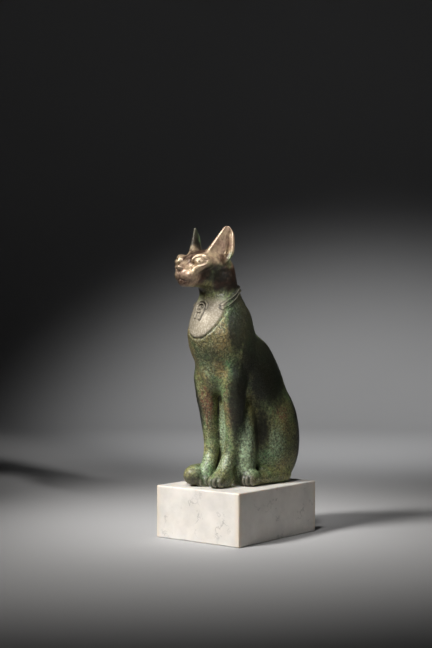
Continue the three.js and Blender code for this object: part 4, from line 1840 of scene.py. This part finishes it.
@dataclass(frozen=True)
class WhiteMarble:
    """Honed white marble, warm, with faint grey veins, a few brown specks and a painted warm glow along
    its vertical corners.
    """

    white: Colour = (0.84, 0.80, 0.745)
    cloud: Colour = (0.70, 0.665, 0.615)
    # Colour of the painted glow of light through the corners.
    painted_corner_glow: Colour = (0.80, 0.62, 0.42)
    vein: Colour = (0.34, 0.32, 0.30)
    speck: Colour = (0.22, 0.15, 0.09)
    clouds: Patches = Patches(20, softness=0.22, shift=7)
    veined: Patches = Patches(16, cover=0.45, softness=0.1, shift=40, strength=0.55)
    specks: Patches = Patches(3.4, cover=0.02, softness=0.03, shift=60, strength=0.8)
    vein_scale: float = 0.03
    vein_width: float = 0.016
    painted_glow_share: float = 0.4
    roughness: float = 0.42
    grain_roughness: float = 0.08
    # size in millimetres, and share that is pitted
    grain: Pair = (0.7, 0.12)
    relief: float = 0.03
    glow: float = 0.25
    glow_depth: float = 4.0
    glow_radius: Colour = (1.0, 0.7, 0.45)

    def colour(self, sheet: Sheet, place: Socket) -> Socket:
        """Draw the colour.

        Args:
            sheet: The material's nodes.
            place: Place on the piece in millimetres.

        Returns:
            The colour.
        """
        colour = sheet.blend(self.clouds.draw(sheet, place), self.white, self.cloud)
        # Painted glow along the vertical corners, where light comes through the marble.
        painted_corner_glow = sheet.times(sheet.mask(Mask.CORNER), self.painted_glow_share)
        colour = sheet.blend(painted_corner_glow, colour, self.painted_corner_glow)
        inputs = {"Vector": place, "Scale": self.vein_scale, "Detail": 5.0, "Roughness": 0.6}
        line = sheet.minus(sheet.add("TexNoise", inputs).outputs[0], 0.5)
        line = sheet.reckon("ABSOLUTE", line)
        vein = sheet.times(sheet.between(line, self.vein_width, 0.0), self.veined.draw(sheet, place))
        colour = sheet.blend(vein, colour, self.vein)
        return sheet.blend(self.specks.draw(sheet, place), colour, self.speck)

    def material(self) -> bpy.types.Material:
        """Make the material.

        Returns:
            The marble's material.
        """
        material, sheet, shader = new_material("white_marble")
        place = sheet.millimetres()
        sheet.feed(shader.inputs["Base Color"], self.colour(sheet, place))
        height = Granules.grain(sheet, place, *self.grain)["Height"]
        rough = sheet.plus(self.roughness, sheet.times(height, self.grain_roughness))
        sheet.feed(shader.inputs["Roughness"], rough)
        sheet.raise_by(shader, height, self.relief, 0.6)
        shader.inputs["Subsurface Weight"].default_value = self.glow
        shader.inputs["Subsurface Radius"].default_value = self.glow_radius
        shader.inputs["Subsurface Scale"].default_value = self.glow_depth * MM
        return material


@dataclass(frozen=True)
class StudioPaint:
    """Matt pale paint of the floor."""

    pale: Colour = (0.50, 0.50, 0.505)
    worn: Colour = (0.47, 0.47, 0.475)
    wear: Patches = Patches(900, softness=0.3, shift=2)
    roughness: float = 0.9
    shine: float = 0.2

    def material(self) -> bpy.types.Material:
        """Make the material.

        Returns:
            The floor's material.
        """
        material, sheet, shader = new_material("studio_paint")
        wear = self.wear.draw(sheet, sheet.millimetres())
        sheet.feed(shader.inputs["Base Color"], sheet.blend(wear, self.pale, self.worn))
        shader.inputs["Roughness"].default_value = self.roughness
        shader.inputs["Specular IOR Level"].default_value = self.shine
        return material


# Studio


class Beam(Enum):
    """Ways in which a lamp throws its light."""

    WIDE = "AREA"
    POOL = "SPOT"


@dataclass(frozen=True)
class Lamp:
    """Soft lamp placed round the cat in degrees and metres."""

    name: str
    beam: Beam
    azimuth: float
    elevation: float
    distance: float
    size: float
    power: float
    colour: Colour = (1.0, 0.98, 0.96)
    aim: Place = (0, 0, 0.10)
    cone: float = 60

    def build(self) -> None:
        """Hang the lamp."""
        light = bpy.data.lights.new(self.name, self.beam.value)
        light.energy = self.power
        light.color = self.colour
        if self.beam is Beam.POOL:
            light.shadow_soft_size = self.size / 2
            light.spot_size = math.radians(self.cone)
            light.spot_blend = 1.0
        else:
            light.size = self.size
        lamp = bpy.data.objects.new(self.name, light)
        a, e = math.radians(self.azimuth), math.radians(self.elevation)
        away = Vector((math.sin(a) * math.cos(e), -math.cos(a) * math.cos(e), math.sin(e)))
        lamp.location = away * self.distance
        lamp.rotation_mode = "QUATERNION"
        lamp.rotation_quaternion = (lamp.location - Vector(self.aim)).to_track_quat("Z", "Y")
        lamp.visible_camera = False
        bpy.context.scene.collection.objects.link(lamp)


@dataclass(frozen=True)
class Studio:
    """Pale floor that curves up into a backdrop, lit in soft pools."""

    hub: float = 0.001
    floor_radius: float = 1.0
    sweep: float = 0.9
    wall: float = 3.0
    sides: int = 96
    ambient: float = 0.007
    lamps: tuple[Lamp, ...] = (
        Lamp(
            "key_lamp", Beam.POOL, -15, 44, 1.4, size=0.36, power=122,
            colour=(1.0, 0.98, 0.955), aim=(0.01, -0.07, 0.09), cone=19.5,
        ),
        Lamp("front_lamp", Beam.POOL, 17, 64, 1.2, size=0.2, power=42, aim=(-0.13, 0.08, 0), cone=21),
        Lamp("head_lamp", Beam.POOL, 62, 30, 1.2, size=0.08, power=52, aim=(0, -0.04, 0.234), cone=11),
        Lamp("fill_lamp", Beam.WIDE, 82, 18, 1.7, size=1.2, power=0.12),
        Lamp(
            "backdrop_lamp", Beam.POOL, 28, 55, 1.3, size=0.2, power=145,
            colour=(1, 1, 1), aim=(-0.50, 0.93, 0), cone=32.5,
        ),
    )

    def build(self) -> bpy.types.Object:
        """Lay the floor and hang the lamps.

        Returns:
            The floor's object.
        """
        turn = np.linspace(0, math.pi / 2, 25)
        bend = self.floor_radius + self.sweep * np.sin(turn)
        radii = np.array([self.hub, *bend, self.floor_radius + self.sweep])
        heights = np.array([0, *(self.sweep * (1 - np.cos(turn))), self.wall])
        angles = np.arange(self.sides) * 2 * math.pi / self.sides
        around = np.stack([np.cos(angles), np.sin(angles), 0 * angles], 1)
        rings = radii[:, None, None] * around + heights[:, None, None] * np.array([0, 0, 1])
        here = np.arange(self.sides)
        strip = np.stack([here, np.roll(here, -1), np.roll(here, -1) + self.sides, here + self.sides], 1)
        faces = np.concatenate([strip + n * self.sides for n in range(len(radii) - 1)])
        floor = make_mesh("studio_floor", rings.reshape(-1, 3) / MM, faces)
        floor.data.materials.append(StudioPaint().material())
        for lamp in self.lamps:
            lamp.build()
        world = bpy.data.worlds.new("studio_air")
        world.use_nodes = True
        world.node_tree.nodes["Background"].inputs["Color"].default_value = (1, 1, 1, 1)
        world.node_tree.nodes["Background"].inputs["Strength"].default_value = self.ambient
        bpy.context.scene.world = world
        return floor


@dataclass(frozen=True)
class Photographer:
    """Level camera at the photograph's place, told from the block's middle."""

    azimuth: float = 38.6
    distance: float = 0.9836
    aside: float = -0.0166
    height: float = 0.1641
    lens: float = 69.88
    sensor: float = 36.0

    def build(self) -> bpy.types.Object:
        """Set up the camera.

        Returns:
            The camera's object.
        """
        data = bpy.data.cameras.new("photograph")
        data.lens = self.lens
        data.sensor_width = self.sensor
        camera = bpy.data.objects.new("photograph", data)
        a = math.radians(self.azimuth)
        right = Vector((math.cos(a), math.sin(a), 0))
        back = Vector((math.sin(a), -math.cos(a), 0))
        camera.location = back * self.distance + right * self.aside + Vector((0, 0, self.height))
        camera.rotation_mode = "QUATERNION"
        camera.rotation_quaternion = back.to_track_quat("Z", "Y")
        bpy.context.scene.collection.objects.link(camera)
        bpy.context.scene.camera = camera
        return camera


def dress(piece: bpy.types.Object, material: bpy.types.Material, node: str) -> None:
    """Give a piece its finish and let it stand for its CAD node.

    Args:
        piece: The piece.
        material: Its material.
        node: Name of the CAD node it stands for.
    """
    piece.data.materials.append(material)
    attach(piece, "root")
    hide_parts(node)
    log.info("%s: %d points, %d faces", piece.name, len(piece.data.vertices), len(piece.data.polygons))


def main() -> None:
    """Build the studio and the figure."""
    logging.basicConfig(level=logging.INFO, format="%(name)s: %(message)s")
    bpy.context.scene.view_settings.view_transform = "Standard"
    Photographer().build()
    Studio().build()
    log.info("studio ready")
    dress(Casting().build(), PatinatedBronze().material(), "bronze_cat")
    dress(MarbleBlock().build(), WhiteMarble().material(), "marble_plinth")


if __name__ == "__main__":
    main()
